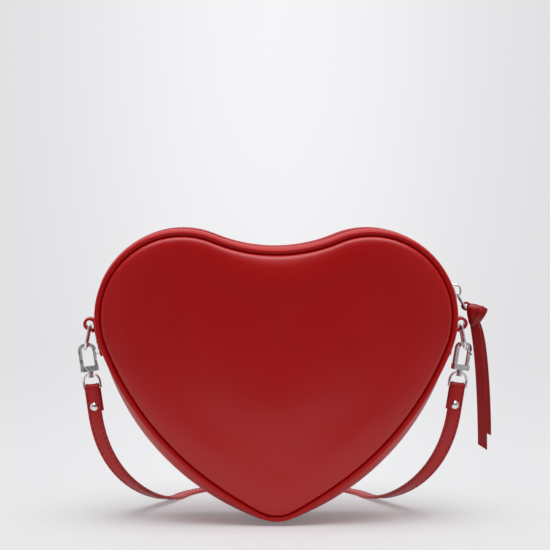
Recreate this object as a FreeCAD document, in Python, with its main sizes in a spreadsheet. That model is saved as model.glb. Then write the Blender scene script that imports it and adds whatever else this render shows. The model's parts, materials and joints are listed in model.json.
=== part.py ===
import FreeCAD, Part
import math
import os
import re
import types

import Sketcher
from FreeCAD import Placement, Rotation, Vector

# Heart shaped purse, in millimetres. X runs to the right, Y to the back, Z up.
# The origin is under the tip of the heart, on the surface that the purse stands on.

SIZES = {
    # Heart outline of the seam round each panel: lobe, dip, flank and tip arcs, tangent to each other
    "lobe_center_x": 54.4,
    "lobe_center_z": 120.8,
    "lobe_radius": 47,
    "dip_radius": 95,
    "flank_radius": 178,
    "tip_center_z": 31,
    "tip_radius": 24,
    # Leather case: the gusset bulges out between the two seams
    "gusset_width": 46,
    "gusset_joint_drop": 1.5,
    "lobe_crown": 3.2,
    "tip_crown": 7.6,
    "crown_flank_radius": 147,
    "leather": 1.2,
    "piping_radius": 1.6,
    "panel_rise": 5.5,
    "panel_edge": 17,
    "lining": 0.7,
    "lining_inset": 0.3,
    "fit_gap": 0.1,
    "overrun": 20,
    # Zip: chain over both lobes, from the left tab to the right tab
    "zip_gap": 9,
    "tape_grow": 1.7,
    "tape_thickness": 0.75,
    "tape_edge": 1.6,
    "tape_tuck": 3,
    "lining_slot": 14,
    "tooth_pitch": 3.2,
    "tooth_width": 1.25,
    "tooth_rise": 3,
    "tooth_reach": 0.9,
    "open_tooth_length": 0.6,
    "chain_grow": 2.2,
    "zip_left_angle": 8,
    "zip_right_angle": 4,
    "stop_width": 2.2,
    "stop_length": 1.5,
    # Slider, parked a little above the right tab
    "slider_angle": 15,
    "slider_length": 10,
    "slider_width": 8,
    "slider_nose": 5.4,
    "slider_plate": 1.3,
    "slider_gap": 0.15,
    "slider_sag": 0.3,
    "slider_flange": 0.7,
    "slider_flange_gap": 0.25,
    "slider_post_width": 1.5,
    "slider_post_length": 1.6,
    "slider_post_inset": 0.5,
    "bail_radius": 3.6,
    "bail_wire": 0.7,
    # Pull: metal link, leather thong with a knot and two tails
    "pull_wire": 0.65,
    "pull_lift": 0.95,
    "pull_drop": 1.85,
    "pull_length": 9,
    "pull_width": 6.4,
    "pull_lean": 30,
    "thong_thickness": 1.4,
    "thong_loop_width": 3.6,
    "thong_width": 5.6,
    "thong_lean": 2.5,
    "knot_top_out": 3.6,
    "knot_top_rise": 1.4,
    "knot_out": 7.4,
    "knot_drop": 2.4,
    "knot_foot_drop": 10.3,
    "knot_width": 11,
    "knot_depth": 7.5,
    "knot_foot_width": 6.4,
    "knot_foot_depth": 4.6,
    "tail_length": 75.7,
    "tail_gap": 0.6,
    "tail_step": 2.2,
    "tail_spread": 0.6,
    "tail_short": 8.6,
    "tail_slant": 3.5,
    # Tabs: a folded strip on the gusset at each side, its loop at the top
    "tab_angle": 5.5,
    "tab_width": 9.6,
    "tab_gap": 0.3,
    "tab_ply": 1.6,
    "tab_loop_radius": 3.8,
    "tab_hole_radius": 2.1,
    "tab_inner_end": 23.8,
    "tab_outer_end": 10,
    # D-rings in the tabs, standing off the tab's slope by an angle
    "ring_wire": 0.85,
    "ring_side_gap": 0.3,
    "ring_length": 14.6,
    "ring_stand": 23.5,
    # Snap clasps, leaning from the tab's slope by an angle
    "left_lean": -4.5,
    "right_lean": -3.5,
    "left_turn": 0,
    "right_turn": 25,
    "clasp_slack": 0.45,
    "clasp_width": 10.4,
    "clasp_height": 16.5,
    "clasp_bar": 2.1,
    "clasp_depth": 2.4,
    "clasp_round": 4,
    "clasp_inner_round": 1.9,
    "clasp_base_height": 3.2,
    "clasp_base_depth": 3.8,
    "nose_length": 4.95,
    "gate_width": 1.7,
    "gate_depth": 1.5,
    "gate_gap": 0.15,
    "gate_inset": 0.2,
    "gate_foot": 0.75,
    "gate_slot_back": 0.7,
    "gate_pin_radius": 0.5,
    "gate_pin_rise": 1.85,
    "gate_pin_inset": 1.2,
    "gate_floor": 0.5,
    "knob_radius": 0.8,
    "knob_length": 1.2,
    "knob_drop": 1.6,
    "spring_thickness": 0.2,
    "spring_width": 1.2,
    "stud_radius": 1,
    "stud_depth": 1.6,
    "stud_head_radius": 1.7,
    "stud_head_height": 1,
    "stud_gap": 0.05,
    # Eyes that turn on the studs
    "eye_wire": 0.75,
    "eye_height": 10.4,
    "eye_boss_radius": 1.9,
    "eye_boss_height": 2.4,
    "eye_gap": 0.2,
    "left_eye_turn": -20,
    "right_eye_turn": 12,
    # Strap, with its ends folded round the bars of the eyes
    "strap_width": 8.6,
    "strap_thickness": 1.5,
    "strap_side_gap": 0.15,
    "fold_front": 15.5,
    "fold_back": 14,
    "rivet_drop": 11,
    "rivet_radius": 0.9,
    "rivet_head_radius": 2.5,
    "rivet_head_height": 1.3,
    "rivet_cap_radius": 2,
    "rivet_cap_height": 0.6,
    "floor_arc_radius": 61,
    "floor_arc_back": 58.5,
    "floor_touch_angle": 18,
    "strap_drop_pull": 45,
    "strap_floor_pull": 30,
}

TINY = 1e-6
PANEL_INSET_SHARES = (0, 0.056, 0.176, 0.35, 0.55, 0.77, 1)
PANEL_RISE_SHARES = (0, 0.436, 0.709, 0.82, 0.89, 0.945, 1)
STRAP_DROP_SECTIONS = 12
STRAP_FLOOR_SECTIONS = 14

doc = FreeCAD.newDocument("heart_purse")
sheet = doc.addObject("Spreadsheet::Sheet", "Sizes")
for row, (alias, number) in enumerate(SIZES.items(), start=1):
    sheet.set("A%d" % row, alias.replace("_", " "))
    sheet.set("B%d" % row, str(number))
    sheet.setAlias("B%d" % row, alias)
doc.recompute()
size = types.SimpleNamespace(**{alias: float(sheet.get(alias)) for alias in SIZES})
pieces = {}


def sized(text):
    """The same expression with every size read from the sheet."""
    return re.sub(r"[a-z_]+", lambda word: "Sizes." * (word.group() in SIZES) + word.group(), text)


def worth(text):
    return float(sheet.evalExpression(sized(text)))


def bind(item, **formulas):
    for name, text in formulas.items():
        item.setExpression(name.replace("__", "."), sized(text))
    return item


def keep(label, item):
    """Name a finished sub-part."""
    item.Label = label
    pieces[label] = item
    return item


# Sketches in the bodies


def new_body(label):
    return keep(label, doc.addObject("PartDesign::Body", label))


def new_sketch(body, role, lift="0"):
    """Sketch on one of the body's own planes, lifted along the plane's normal."""
    support = next(item for item in body.Origin.OriginFeatures if item.Role == role)
    sketch = body.newObject("Sketcher::SketchObject", "sketch")
    sketch.AttachmentSupport = [(support, "")]
    sketch.MapMode = "FlatFace"
    return bind(sketch, AttachmentOffset__Base__z=lift)


def dimension(sketch, kind, where, text):
    """Driving dimension with a formula; a distance from the origin may have either sign."""
    value = worth(text)
    if kind in ("DistanceX", "DistanceY"):
        if abs(value) < TINY:
            axis = -2 if kind == "DistanceX" else -1
            sketch.addConstraint(Sketcher.Constraint("PointOnObject", *where, axis))
            return
        where = (-1, 1) + where if value > 0 else where + (-1, 1)
        text = text if value > 0 else "-(%s)" % text
    index = sketch.addConstraint(Sketcher.Constraint(kind, *where, abs(value)))
    sketch.setExpression("Constraints[%d]" % index, sized(text))


def add_outline(sketch, corners):
    """Closed outline of straight sides, each corner a pair of formulas."""
    places = [Vector(worth(across), worth(up), 0) for across, up in corners]
    count = len(places)
    for index, place in enumerate(places):
        sketch.addGeometry(Part.LineSegment(place, places[(index + 1) % count]))
    for index, (across, up) in enumerate(corners):
        sketch.addConstraint(Sketcher.Constraint("Coincident", index, 2, (index + 1) % count, 1))
        dimension(sketch, "DistanceX", (index, 1), across)
        dimension(sketch, "DistanceY", (index, 1), up)
    return sketch


def add_rectangle(sketch, left, right, bottom, top):
    return add_outline(sketch, ((left, bottom), (right, bottom), (right, top), (left, top)))


def add_circle(sketch, across, up, radius):
    center = Vector(worth(across), worth(up), 0)
    index = sketch.addGeometry(Part.Circle(center, Vector(0, 0, 1), worth(radius)))
    dimension(sketch, "DistanceX", (index, 3), across)
    dimension(sketch, "DistanceY", (index, 3), up)
    dimension(sketch, "Radius", (index,), radius)
    return sketch


def pad(body, sketch, length, symmetric=False):
    feature = body.newObject("PartDesign::Pad", "pad")
    feature.Profile = sketch
    feature.SideType = "Symmetric" if symmetric else "One side"
    return bind(feature, Length=length)


def pocket_through(body, sketch):
    """Cut right through the body, both ways from the sketch."""
    doc.recompute()
    before = body.Shape.Volume
    feature = body.newObject("PartDesign::Pocket", "pocket")
    feature.Profile = sketch
    feature.Type = "ThroughAll"
    feature.SideType = "Symmetric"
    doc.recompute()
    if body.Shape.Volume > before - TINY:
        raise RuntimeError("a cut through %s removes nothing" % body.Label)
    return feature


# The heart outline


def tangent_center(first, first_reach, second, second_reach):
    """Point at given distances from two points, on the side of lower X."""
    span = second - first
    along = (first_reach ** 2 - second_reach ** 2 + span.Length ** 2) / (2 * span.Length)
    aside = math.sqrt(first_reach ** 2 - along ** 2)
    unit = span / span.Length
    square = Vector(-unit.y, unit.x, 0)
    both = (first + unit * along + square * aside, first + unit * along - square * aside)
    return min(both, key=lambda place: place.x)


def heart_runs(grow, tip_grow, flank):
    """Centre, radius and end angles of the arcs: dip, right lobe, right flank, tip, left flank, left lobe."""
    lobe = Vector(size.lobe_center_x, size.lobe_center_z, 0)
    tip = Vector(0, size.tip_center_z, 0)
    dip_span = size.dip_radius + size.lobe_radius
    dip = Vector(0, lobe.y + math.sqrt(dip_span ** 2 - lobe.x ** 2), 0)
    lobe_radius = size.lobe_radius + grow
    tip_radius = size.tip_radius + tip_grow
    side = tangent_center(lobe, flank - lobe_radius, tip, flank - tip_radius)

    def direction(start, end):
        return math.atan2(end.y - start.y, end.x - start.x)

    dip_turn = direction(lobe, dip)
    flank_turn = direction(side, lobe)
    tip_turn = direction(side, tip)
    half = math.pi
    return (
        (dip, size.dip_radius - grow, -dip_turn, dip_turn - half),
        (lobe, lobe_radius, flank_turn, dip_turn),
        (side, flank, tip_turn, flank_turn),
        (tip, tip_radius, -half - tip_turn, tip_turn),
        (Vector(-side.x, side.y, 0), flank, half - flank_turn, half - tip_turn),
        (Vector(-lobe.x, lobe.y, 0), lobe_radius, half - dip_turn, half - flank_turn),
    )


def heart_arcs(*growth):
    return [Part.ArcOfCircle(Part.Circle(center, Vector(0, 0, 1), radius), start, end)
            for center, radius, start, end in heart_runs(*growth)]


def add_heart(sketch, grow, tip_grow=None, flank=None):
    """Closed heart outline, a given growth outside the seam line."""
    tip_grow = tip_grow or grow
    flank = flank or "flank_radius + (%s)" % grow
    dip, right_lobe, right_flank, tip, left_flank, left_lobe = (
        sketch.addGeometry(arc) for arc in heart_arcs(worth(grow), worth(tip_grow), worth(flank)))
    for first, first_end, second, second_end in (
            (dip, 2, right_lobe, 2), (right_lobe, 1, right_flank, 2), (right_flank, 1, tip, 2),
            (tip, 1, left_flank, 2), (left_flank, 1, left_lobe, 2), (left_lobe, 1, dip, 1)):
        sketch.addConstraint(Sketcher.Constraint("Tangent", first, first_end, second, second_end))
    for lobe, sign in ((right_lobe, ""), (left_lobe, "-")):
        dimension(sketch, "DistanceX", (lobe, 3), sign + "lobe_center_x")
        dimension(sketch, "DistanceY", (lobe, 3), "lobe_center_z")
        dimension(sketch, "Radius", (lobe,), "lobe_radius + (%s)" % grow)
    for side in (right_flank, left_flank):
        dimension(sketch, "Radius", (side,), flank)
    dimension(sketch, "Radius", (dip,), "dip_radius - (%s)" % grow)
    dimension(sketch, "DistanceX", (tip, 3), "0")
    dimension(sketch, "DistanceY", (tip, 3), "tip_center_z")
    dimension(sketch, "Radius", (tip,), "tip_radius + (%s)" % tip_grow)
    return sketch


def heart_at(body, depth, *growth):
    """Heart sketch at a given depth; the plane's normal points to the front."""
    return add_heart(new_sketch(body, "XZ_Plane", "-(%s)" % depth), *growth)


def loft(body, kind, stations):
    """Smooth loft through hearts, each station a depth and its growth."""
    hearts = [heart_at(body, *station) for station in stations]
    feature = body.newObject("PartDesign::" + kind, "loft")
    feature.Profile = hearts[0]
    feature.Sections = hearts[1:]
    return feature


def keep_above(body, level):
    wide = "lobe_center_x + lobe_radius + overrun"
    pocket_through(body, add_rectangle(new_sketch(body, "XZ_Plane"), "-(%s)" % wide, wide, "-overrun", level))


def keep_below(body, level):
    wide = "lobe_center_x + lobe_radius + overrun"
    high = "lobe_center_z + lobe_radius + overrun"
    pocket_through(body, add_rectangle(new_sketch(body, "XZ_Plane"), "-(%s)" % wide, wide, level, high))


# Leather panels, padding and lining

SEAM_DEPTH = "gusset_width / 2"
GUSSET_JOINT = "(lobe_center_z - gusset_joint_drop)"


def panel_stations(way, skin):
    """Stations of a puffed panel from its seam outwards, drawn in by a skin thickness."""
    return [("%s * (%s + (panel_rise - (%s)) * %s)" % (way, SEAM_DEPTH, skin, rise),
             "-fit_gap - (%s) - (panel_edge - (%s)) * %s" % (skin, skin, inset))
            for rise, inset in zip(PANEL_RISE_SHARES, PANEL_INSET_SHARES)]


def make_panels():
    for face, way in (("front", "-1"), ("back", "1")):
        panel = new_body(face + "_panel")
        loft(panel, "AdditiveLoft", panel_stations(way, "0"))
        loft(panel, "SubtractiveLoft", panel_stations(way, "leather"))
        foam = new_body(face + "_foam")
        loft(foam, "AdditiveLoft", panel_stations(way, "leather + fit_gap"))
        lining = new_body(face + "_lining")
        start = "%s * (%s - fit_gap - lining / 2) + lining / 2" % (way, SEAM_DEPTH)
        pad(lining, heart_at(lining, start, "-lining_inset - lining"), "lining")
        piping = new_body(face + "_piping")
        path = heart_at(piping, "%s * %s" % (way, SEAM_DEPTH), "piping_radius")
        ring = add_circle(new_sketch(piping, "YZ_Plane"), "%s * %s" % (way, SEAM_DEPTH),
                          "tip_center_z - tip_radius - piping_radius", "piping_radius")
        pipe = piping.newObject("PartDesign::AdditivePipe", "pipe")
        pipe.Profile = ring
        pipe.Spine = path


# Gusset, in three bands, with its lining

BAND_HALF = "(gusset_width / 2 - piping_radius - fit_gap)"
GUSSET_CROWN = ("lobe_crown", "tip_crown", "crown_flank_radius")


def gusset_station(share, wall):
    """Depth and growth of the gusset's curve at a share of its half width, a wall thickness inside."""
    bulge = "(1 - (%s) ^ 2)" % share
    grow = "piping_radius - (%s) + (lobe_crown - piping_radius) * %s" % (wall, bulge)
    tip_grow = "piping_radius - (%s) + (tip_crown - piping_radius) * %s" % (wall, bulge)
    flank = ("flank_radius + piping_radius - (%s)"
             " + (crown_flank_radius - flank_radius - piping_radius) * %s" % (wall, bulge))
    return "(%s) * %s" % (share, BAND_HALF), grow, tip_grow, flank


def gusset_band(label, first, last):
    """Crowned leather band between two shares of the gusset's half width."""
    middle = "((%s) + (%s)) / 2" % (first, last)
    band = new_body(label)
    loft(band, "AdditiveLoft", [gusset_station(share, "0") for share in (first, middle, last)])
    loft(band, "SubtractiveLoft", [gusset_station(share, "leather") for share in (first, middle, last)])
    return band


def make_gusset():
    lower = gusset_band("lower_gusset", "-1", "1")
    keep_below(lower, GUSSET_JOINT)
    keep_above(lower, "0")
    edge = "zip_gap / 2 / " + BAND_HALF
    keep_above(gusset_band("front_zip_gusset", "-1", "-" + edge), GUSSET_JOINT + " + fit_gap")
    keep_above(gusset_band("back_zip_gusset", edge, "1"), GUSSET_JOINT + " + fit_gap")
    lining = new_body("gusset_lining")
    width = "gusset_width - 4 * fit_gap - 2 * lining"
    pad(lining, heart_at(lining, "0", "-lining_inset"), width, symmetric=True)
    pocket_through(lining, heart_at(lining, "0", "-lining_inset - lining"))
    slot = add_rectangle(new_sketch(lining, "XY_Plane"),
                         "-(lobe_center_x + lobe_radius + overrun)", "lobe_center_x + lobe_radius + overrun",
                         "-lining_slot / 2", "lining_slot / 2")
    doc.recompute()
    cut = lining.newObject("PartDesign::Pocket", "zip_mouth")
    bind(slot, AttachmentOffset__Base__z=GUSSET_JOINT)
    cut.Profile = slot
    cut.Type = "ThroughAll"
    cut.Reversed = True


# Zip tapes, teeth and stops


def zip_runs():
    """The three arcs of the zip, from the right tab over the dip to the left tab, at the chain's middle."""
    runs = heart_runs(size.chain_grow, size.chain_grow, size.flank_radius + size.chain_grow)
    dip_center, dip_radius, dip_left, dip_right = runs[0]
    right_center, lobe_radius, flank_turn, dip_turn = runs[1]
    left_center = runs[5][0]
    right_end = math.radians(size.zip_right_angle)
    left_end = math.pi - math.radians(size.zip_left_angle)
    return ((right_center, lobe_radius, right_end, dip_turn, 1),
            (dip_center, dip_radius, dip_turn - math.pi, -dip_turn, -1),
            (left_center, lobe_radius, math.pi - dip_turn, left_end, 1))


def zip_place(distance):
    """Place and outward direction on the zip, at a distance from its right end."""
    for center, radius, start, end, outward in zip_runs():
        length = radius * abs(end - start)
        if distance <= length + TINY:
            angle = start + (end - start) * distance / length
            ray = Vector(math.cos(angle), 0, math.sin(angle))
            spot = Vector(center.x, 0, center.y) + ray * radius
            return Placement(spot, Rotation(Vector(1, 0, 0), ray * outward))
        distance -= length
    return None


def zip_block(distance, rise, first_y, last_y, width):
    block = Part.makeBox(rise, last_y - first_y, width, Vector(-rise / 2, first_y, -width / 2))
    block.Placement = zip_place(distance)
    return block


def make_zip():
    total = sum(radius * abs(end - start) for center, radius, start, end, outward in zip_runs())
    chain_radius = size.lobe_radius + size.chain_grow
    meshed_from = chain_radius * math.radians(size.slider_angle - size.zip_right_angle)
    for face, way in (("front", "-1"), ("back", "1")):
        tape = new_body(face + "_zip_tape")
        width = "zip_gap / 2 + tape_tuck - tape_edge"
        start = "-tape_edge" if way == "-1" else "zip_gap / 2 + tape_tuck"
        pad(tape, heart_at(tape, start, "tape_grow"), width)
        pocket_through(tape, heart_at(tape, start, "tape_grow - tape_thickness"))
        keep_above(tape, GUSSET_JOINT + " + fit_gap")
        teeth = []
        place = size.stop_width + (0 if way == "-1" else size.tooth_pitch / 2)
        while place < total - size.stop_width:
            reach = size.tooth_reach if place > meshed_from else size.open_tooth_length - size.tape_edge
            ends = sorted((float(way) * size.tape_edge, -float(way) * reach))
            teeth.append(zip_block(place, size.tooth_rise, *ends, size.tooth_width))
            place += size.tooth_pitch
        row = doc.addObject("Part::Feature", face + "_zip_teeth")
        row.Shape = Part.makeCompound(teeth)
        keep(face + "_zip_teeth", row)
    stops = doc.addObject("Part::Feature", "zip_stops")
    stops.Shape = Part.makeCompound(
        [zip_block(place, size.tooth_rise, way * size.tape_edge - size.stop_length * (way > 0),
                   way * size.tape_edge + size.stop_length * (way < 0), size.tooth_width)
         for place in (0, total) for way in (-1, 1)])
    keep("zip_stops", stops)


# Round and square stock for the metal pieces


def cylinder(radius, length, place=Placement(), sweep="360"):
    """Round bar along the local Z axis."""
    bar = placed(doc.addObject("Part::Cylinder", "bar"), place)
    return bind(bar, Radius=radius, Height=length, Angle=sweep)


def bow(radius, wire, sweep, place):
    """Part of a ring in the local XY plane, from the X axis round."""
    ring = placed(doc.addObject("Part::Torus", "bow"), place)
    return bind(ring, Radius1=radius, Radius2=wire, Angle3=sweep)


def ball(radius, place):
    return bind(placed(doc.addObject("Part::Sphere", "ball"), place), Radius=radius)


def block(across, deep, high, place=Placement()):
    return bind(placed(doc.addObject("Part::Box", "block"), place), Length=across, Width=deep, Height=high)


def placed(item, place):
    item.Placement = place
    return item


def fused(label, *items):
    fuse = doc.addObject("Part::MultiFuse", label)
    fuse.Shapes = list(items)
    return fuse


def cut(label, base, *tools):
    for tool in tools:
        step = doc.addObject("Part::Cut", label)
        step.Base = base
        step.Tool = tool
        base = step
    return base


def at(x, y, z, turn=Rotation()):
    return Placement(Vector(x, y, z), turn)


ALONG_X = Rotation(Vector(0, 1, 0), 90)
ALONG_Y = Rotation(Vector(1, 0, 0), -90)
IN_XZ = Rotation(Vector(1, 0, 0), 90)
IN_YZ = Rotation(Vector(0, 0, 1), 90) * Rotation(Vector(1, 0, 0), 90)


# Slider and pull, on the right lobe


def make_slider():
    """Slider in a frame at the lobe's centre: X outwards through the zip, Z along it."""
    tooth_top = "lobe_radius + chain_grow + tooth_rise / 2"
    tooth_foot = "lobe_radius + chain_grow - tooth_rise / 2"
    over = "%s + slider_gap" % tooth_top
    under = "%s - slider_gap - slider_sag - slider_plate" % tooth_foot
    slider = new_body("slider_body")
    shield = (
        ("-slider_nose / 2", "slider_length / 2"), ("-slider_width / 2", "slider_length / 8"),
        ("-slider_width / 2", "-slider_length * 3 / 8"), ("-slider_nose / 2", "-slider_length / 2"),
        ("slider_nose / 2", "-slider_length / 2"), ("slider_width / 2", "-slider_length * 3 / 8"),
        ("slider_width / 2", "slider_length / 8"), ("slider_nose / 2", "slider_length / 2"))
    post_foot = "-slider_length / 2 + slider_post_inset"
    pad(slider, add_outline(new_sketch(slider, "YZ_Plane", over), shield), "slider_plate")
    post = add_rectangle(new_sketch(slider, "YZ_Plane", under),
                         "-slider_post_width / 2", "slider_post_width / 2",
                         post_foot, post_foot + " + slider_post_length")
    pad(slider, post, "%s - (%s)" % (over, under))
    pad(slider, add_outline(new_sketch(slider, "YZ_Plane", under), shield), "slider_plate")
    flange_foot = "lobe_radius + tape_grow + slider_flange_gap"
    for left, right in (("-slider_width / 2", "-slider_width / 2 + slider_flange"),
                        ("slider_width / 2 - slider_flange", "slider_width / 2")):
        flange = add_rectangle(new_sketch(slider, "YZ_Plane", flange_foot), left, right,
                               "-slider_length * 3 / 8", "slider_length / 8")
        pad(slider, flange, "%s - (%s)" % (over, flange_foot))
    lobe = Vector(size.lobe_center_x, 0, size.lobe_center_z)
    seat = Placement(lobe, Rotation(Vector(0, 1, 0), -size.slider_angle))
    slider.Placement = seat
    plate_top = worth(over + " + slider_plate")
    bail = bow("bail_radius", "bail_wire", "180", Placement())
    bail.Placement = seat * at(plate_top, 0, 0, IN_XZ * Rotation(Vector(0, 0, 1), -90))
    keep("slider_bail", bail)
    return seat.multVec(Vector(plate_top + size.pull_lift, 0, -size.pull_drop))


def make_pull(hook):
    """Oval link hung in the bail, thong looped over its lower bend."""
    link_turn = Rotation(Vector(0, 1, 0), -size.pull_lean)
    bend = "(pull_width - 2 * pull_wire) / 2"
    half_width = worth(bend)
    parts = []
    for side in (-1, 1):
        parts.append(cylinder("pull_wire", "pull_length", at(0, side * half_width, -size.pull_length)))
    for level in (0, -size.pull_length):
        parts.append(cylinder("pull_wire", "2 * (%s)" % bend, at(0, -half_width, level, ALONG_Y)))
        parts.append(ball("pull_wire", at(0, half_width, level)))
        parts.append(ball("pull_wire", at(0, -half_width, level)))
    link = keep("pull_link", fused("pull_link", *parts))
    link.Placement = Placement(hook, link_turn)
    eye = hook + link_turn.multVec(Vector(0, 0, -size.pull_length))
    hole = size.pull_wire + size.fit_gap
    loop_start = Vector(0, -size.thong_loop_width / 2, 0)
    loop = Part.makeCylinder(hole + size.thong_thickness, size.thong_loop_width, loop_start, Vector(0, 1, 0))
    bore = Part.makeCylinder(hole, size.thong_loop_width, loop_start, Vector(0, 1, 0))

    def knot_section(across, deep, level, shift):
        corners = [Vector(shift + way_x * across / 2, way_y * deep / 2, level)
                   for way_x, way_y in ((-1, -1), (1, -1), (1, 1), (-1, 1), (-1, -1))]
        return Part.makePolygon(corners)

    knot_sections = [
        knot_section(size.knot_foot_width, size.knot_foot_depth, size.knot_top_rise, size.knot_top_out),
        knot_section(size.knot_width, size.knot_depth, -size.knot_drop, size.knot_out),
        knot_section(size.knot_foot_width, size.knot_foot_depth, -size.knot_foot_drop, size.knot_out)]
    knot = Part.makeLoft(knot_sections, True, True)
    thong = loop.fuse(knot)
    for number, way in enumerate((-1, 1)):
        length = size.tail_length - number * size.tail_short
        half = size.thong_width / 2
        face = Part.Face(Part.makePolygon([
            Vector(-half, 0, 0), Vector(half, 0, 0), Vector(half, 0, -length),
            Vector(-half, 0, size.tail_slant - length), Vector(-half, 0, 0)]))
        tail = face.extrude(Vector(0, size.thong_thickness, 0))
        tail.Placement = at(size.knot_out + number * size.tail_step / 2,
                            way * (size.tail_gap + size.thong_thickness) / 2 - size.thong_thickness / 2,
                            size.thong_thickness - size.knot_foot_drop,
                            Rotation(Vector(0, 1, 0), -size.thong_lean - number * size.tail_spread))
        thong = thong.fuse(tail)
    leather = doc.addObject("Part::Feature", "pull_thong")
    leather.Shape = thong.cut(bore)
    leather.Placement = Placement(eye, Rotation())
    keep("pull_thong", leather)


# Tabs, D-rings, clasps, eyes and strap ends


TAB_REACH = "(lobe_radius + lobe_crown + tab_gap + tab_loop_radius)"
TAB_DROP = TAB_REACH + " * sin(tab_angle)"


def tab_ply(under, over, end, way):
    """Leather on the crown of the gusset, between two heights over it, from the loop down to its end."""
    band = doc.addObject("PartDesign::Body", "band")
    pad(band, heart_at(band, "0", *("%s + %s" % (crown, over) for crown in GUSSET_CROWN)), "tab_width", True)
    pocket_through(band, heart_at(band, "0", *("%s + %s" % (crown, under) for crown in GUSSET_CROWN)))
    wide = "lobe_center_x + lobe_radius + overrun"
    ply = doc.addObject("Part::Common", "ply")
    ply.Base = band
    ply.Tool = block(wide, "tab_width", "%s - %s" % (end, TAB_DROP),
                     at(min(0, way * worth(wide)), -size.tab_width / 2, size.lobe_center_z - worth(end)))
    return ply


def gusset_edge(level):
    """Half width of the crowned gusset at a level beside the tabs."""
    dip, lobe, flank = heart_runs(*(worth(crown) for crown in GUSSET_CROWN))[:3]
    center, radius, start, end = flank
    if level > center.y + radius * math.sin(end):
        center, radius = lobe[:2]
    return center.x + math.sqrt(radius ** 2 - (level - center.y) ** 2)


def tab_slope():
    """Angle between a tab and the upright, in degrees, from its loop to its end."""
    drop = worth(TAB_DROP)
    draw_in = gusset_edge(size.lobe_center_z - drop) - gusset_edge(size.lobe_center_z - size.tab_inner_end)
    return math.degrees(math.atan2(draw_in, size.tab_inner_end - drop))


def make_tab(side, way):
    """Strip that lies on the gusset and is folded outwards into a loop; gives the place of the ring's bar."""
    low = math.radians(size.tab_angle)
    center = Vector(way * (size.lobe_center_x + worth(TAB_REACH) * math.cos(low)), 0,
                    size.lobe_center_z - worth(TAB_DROP))
    axis = at(center.x, size.tab_width / 2, center.z, IN_XZ)
    inner = tab_ply("tab_gap", "(tab_gap + tab_ply)", "tab_inner_end", way)
    outer = tab_ply("(tab_gap + tab_ply)", "(tab_gap + 2 * tab_ply)", "tab_outer_end", way)
    loop = cylinder("tab_loop_radius", "tab_width", axis)
    hole = cylinder("tab_hole_radius", "tab_width", axis)
    keep(side + "_tab", cut(side + "_tab", fused("strip", inner, outer, loop), hole))
    return center - Vector(0, 0, size.tab_hole_radius - size.ring_wire - size.fit_gap)


def make_ring(side, way, bar, turn):
    """D-ring: straight bar in the tab, two legs and a round bow below; gives the place of the clasp's bar."""
    half = "(tab_width / 2 + ring_side_gap + ring_wire)"
    leg = "ring_length - " + half
    wide = worth(half)
    parts = [cylinder("ring_wire", "2 * " + half, at(0, -wide, 0, ALONG_Y)),
             bow(half, "ring_wire", "180", at(0, 0, -worth(leg), IN_YZ * Rotation(Vector(0, 0, 1), 180)))]
    for end in (-1, 1):
        parts.append(cylinder("ring_wire", leg, at(0, end * wide, -worth(leg))))
        parts.append(ball("ring_wire", at(0, end * wide, 0)))
    ring = keep(side + "_d_ring", fused(side + "_d_ring", *parts))
    lean = Rotation(Vector(0, 1, 0), way * (tab_slope() - size.ring_stand))
    ring.Placement = Placement(bar, lean)
    bar_half = math.hypot(size.clasp_bar, size.clasp_depth) / 2
    slack = size.clasp_slack + size.ring_wire * math.sin(math.radians(turn))
    hang = size.ring_length - size.ring_wire - bar_half - slack
    return bar + lean.multVec(Vector(0, 0, -hang))


CLASP_TOP = "clasp_bar / 2"
CLASP_FOOT = "(clasp_bar / 2 - clasp_height)"
BASE_TOP = "(clasp_bar / 2 - clasp_height + clasp_base_height)"
CLASP_SIDE = "clasp_width / 2"
GATE_PIN_X = "(clasp_width / 2 - gate_pin_inset)"
GATE_PIN_Z = "(clasp_bar / 2 - clasp_height + gate_pin_rise)"
SLOT_BACK = "(clasp_width / 2 - gate_pin_inset - gate_foot - gate_slot_back)"
SLOT_FLOOR = "(clasp_bar / 2 - clasp_height + gate_floor)"
GATE_TOP = "(clasp_bar / 2 - nose_length - gate_gap)"


def edges_along_depth(feature, corners):
    """Names of the edges that run front to back through the given corners."""
    names = []
    for number, edge in enumerate(feature.Shape.Edges, start=1):
        first, last = edge.Vertexes[0].Point, edge.Vertexes[-1].Point
        straight = math.hypot(first.x - last.x, first.z - last.z) < TINY
        if straight and any(math.hypot(first.x - x, first.z - z) < TINY for x, z in corners):
            names.append("Edge%d" % number)
    return names


def round_corners(body, feature, corners, radius):
    doc.recompute()
    names = edges_along_depth(feature, [(worth(x), worth(z)) for x, z in corners])
    fillet = body.newObject("PartDesign::Fillet", "fillet")
    fillet.Base = (feature, names)
    return bind(fillet, Radius=radius)


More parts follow.
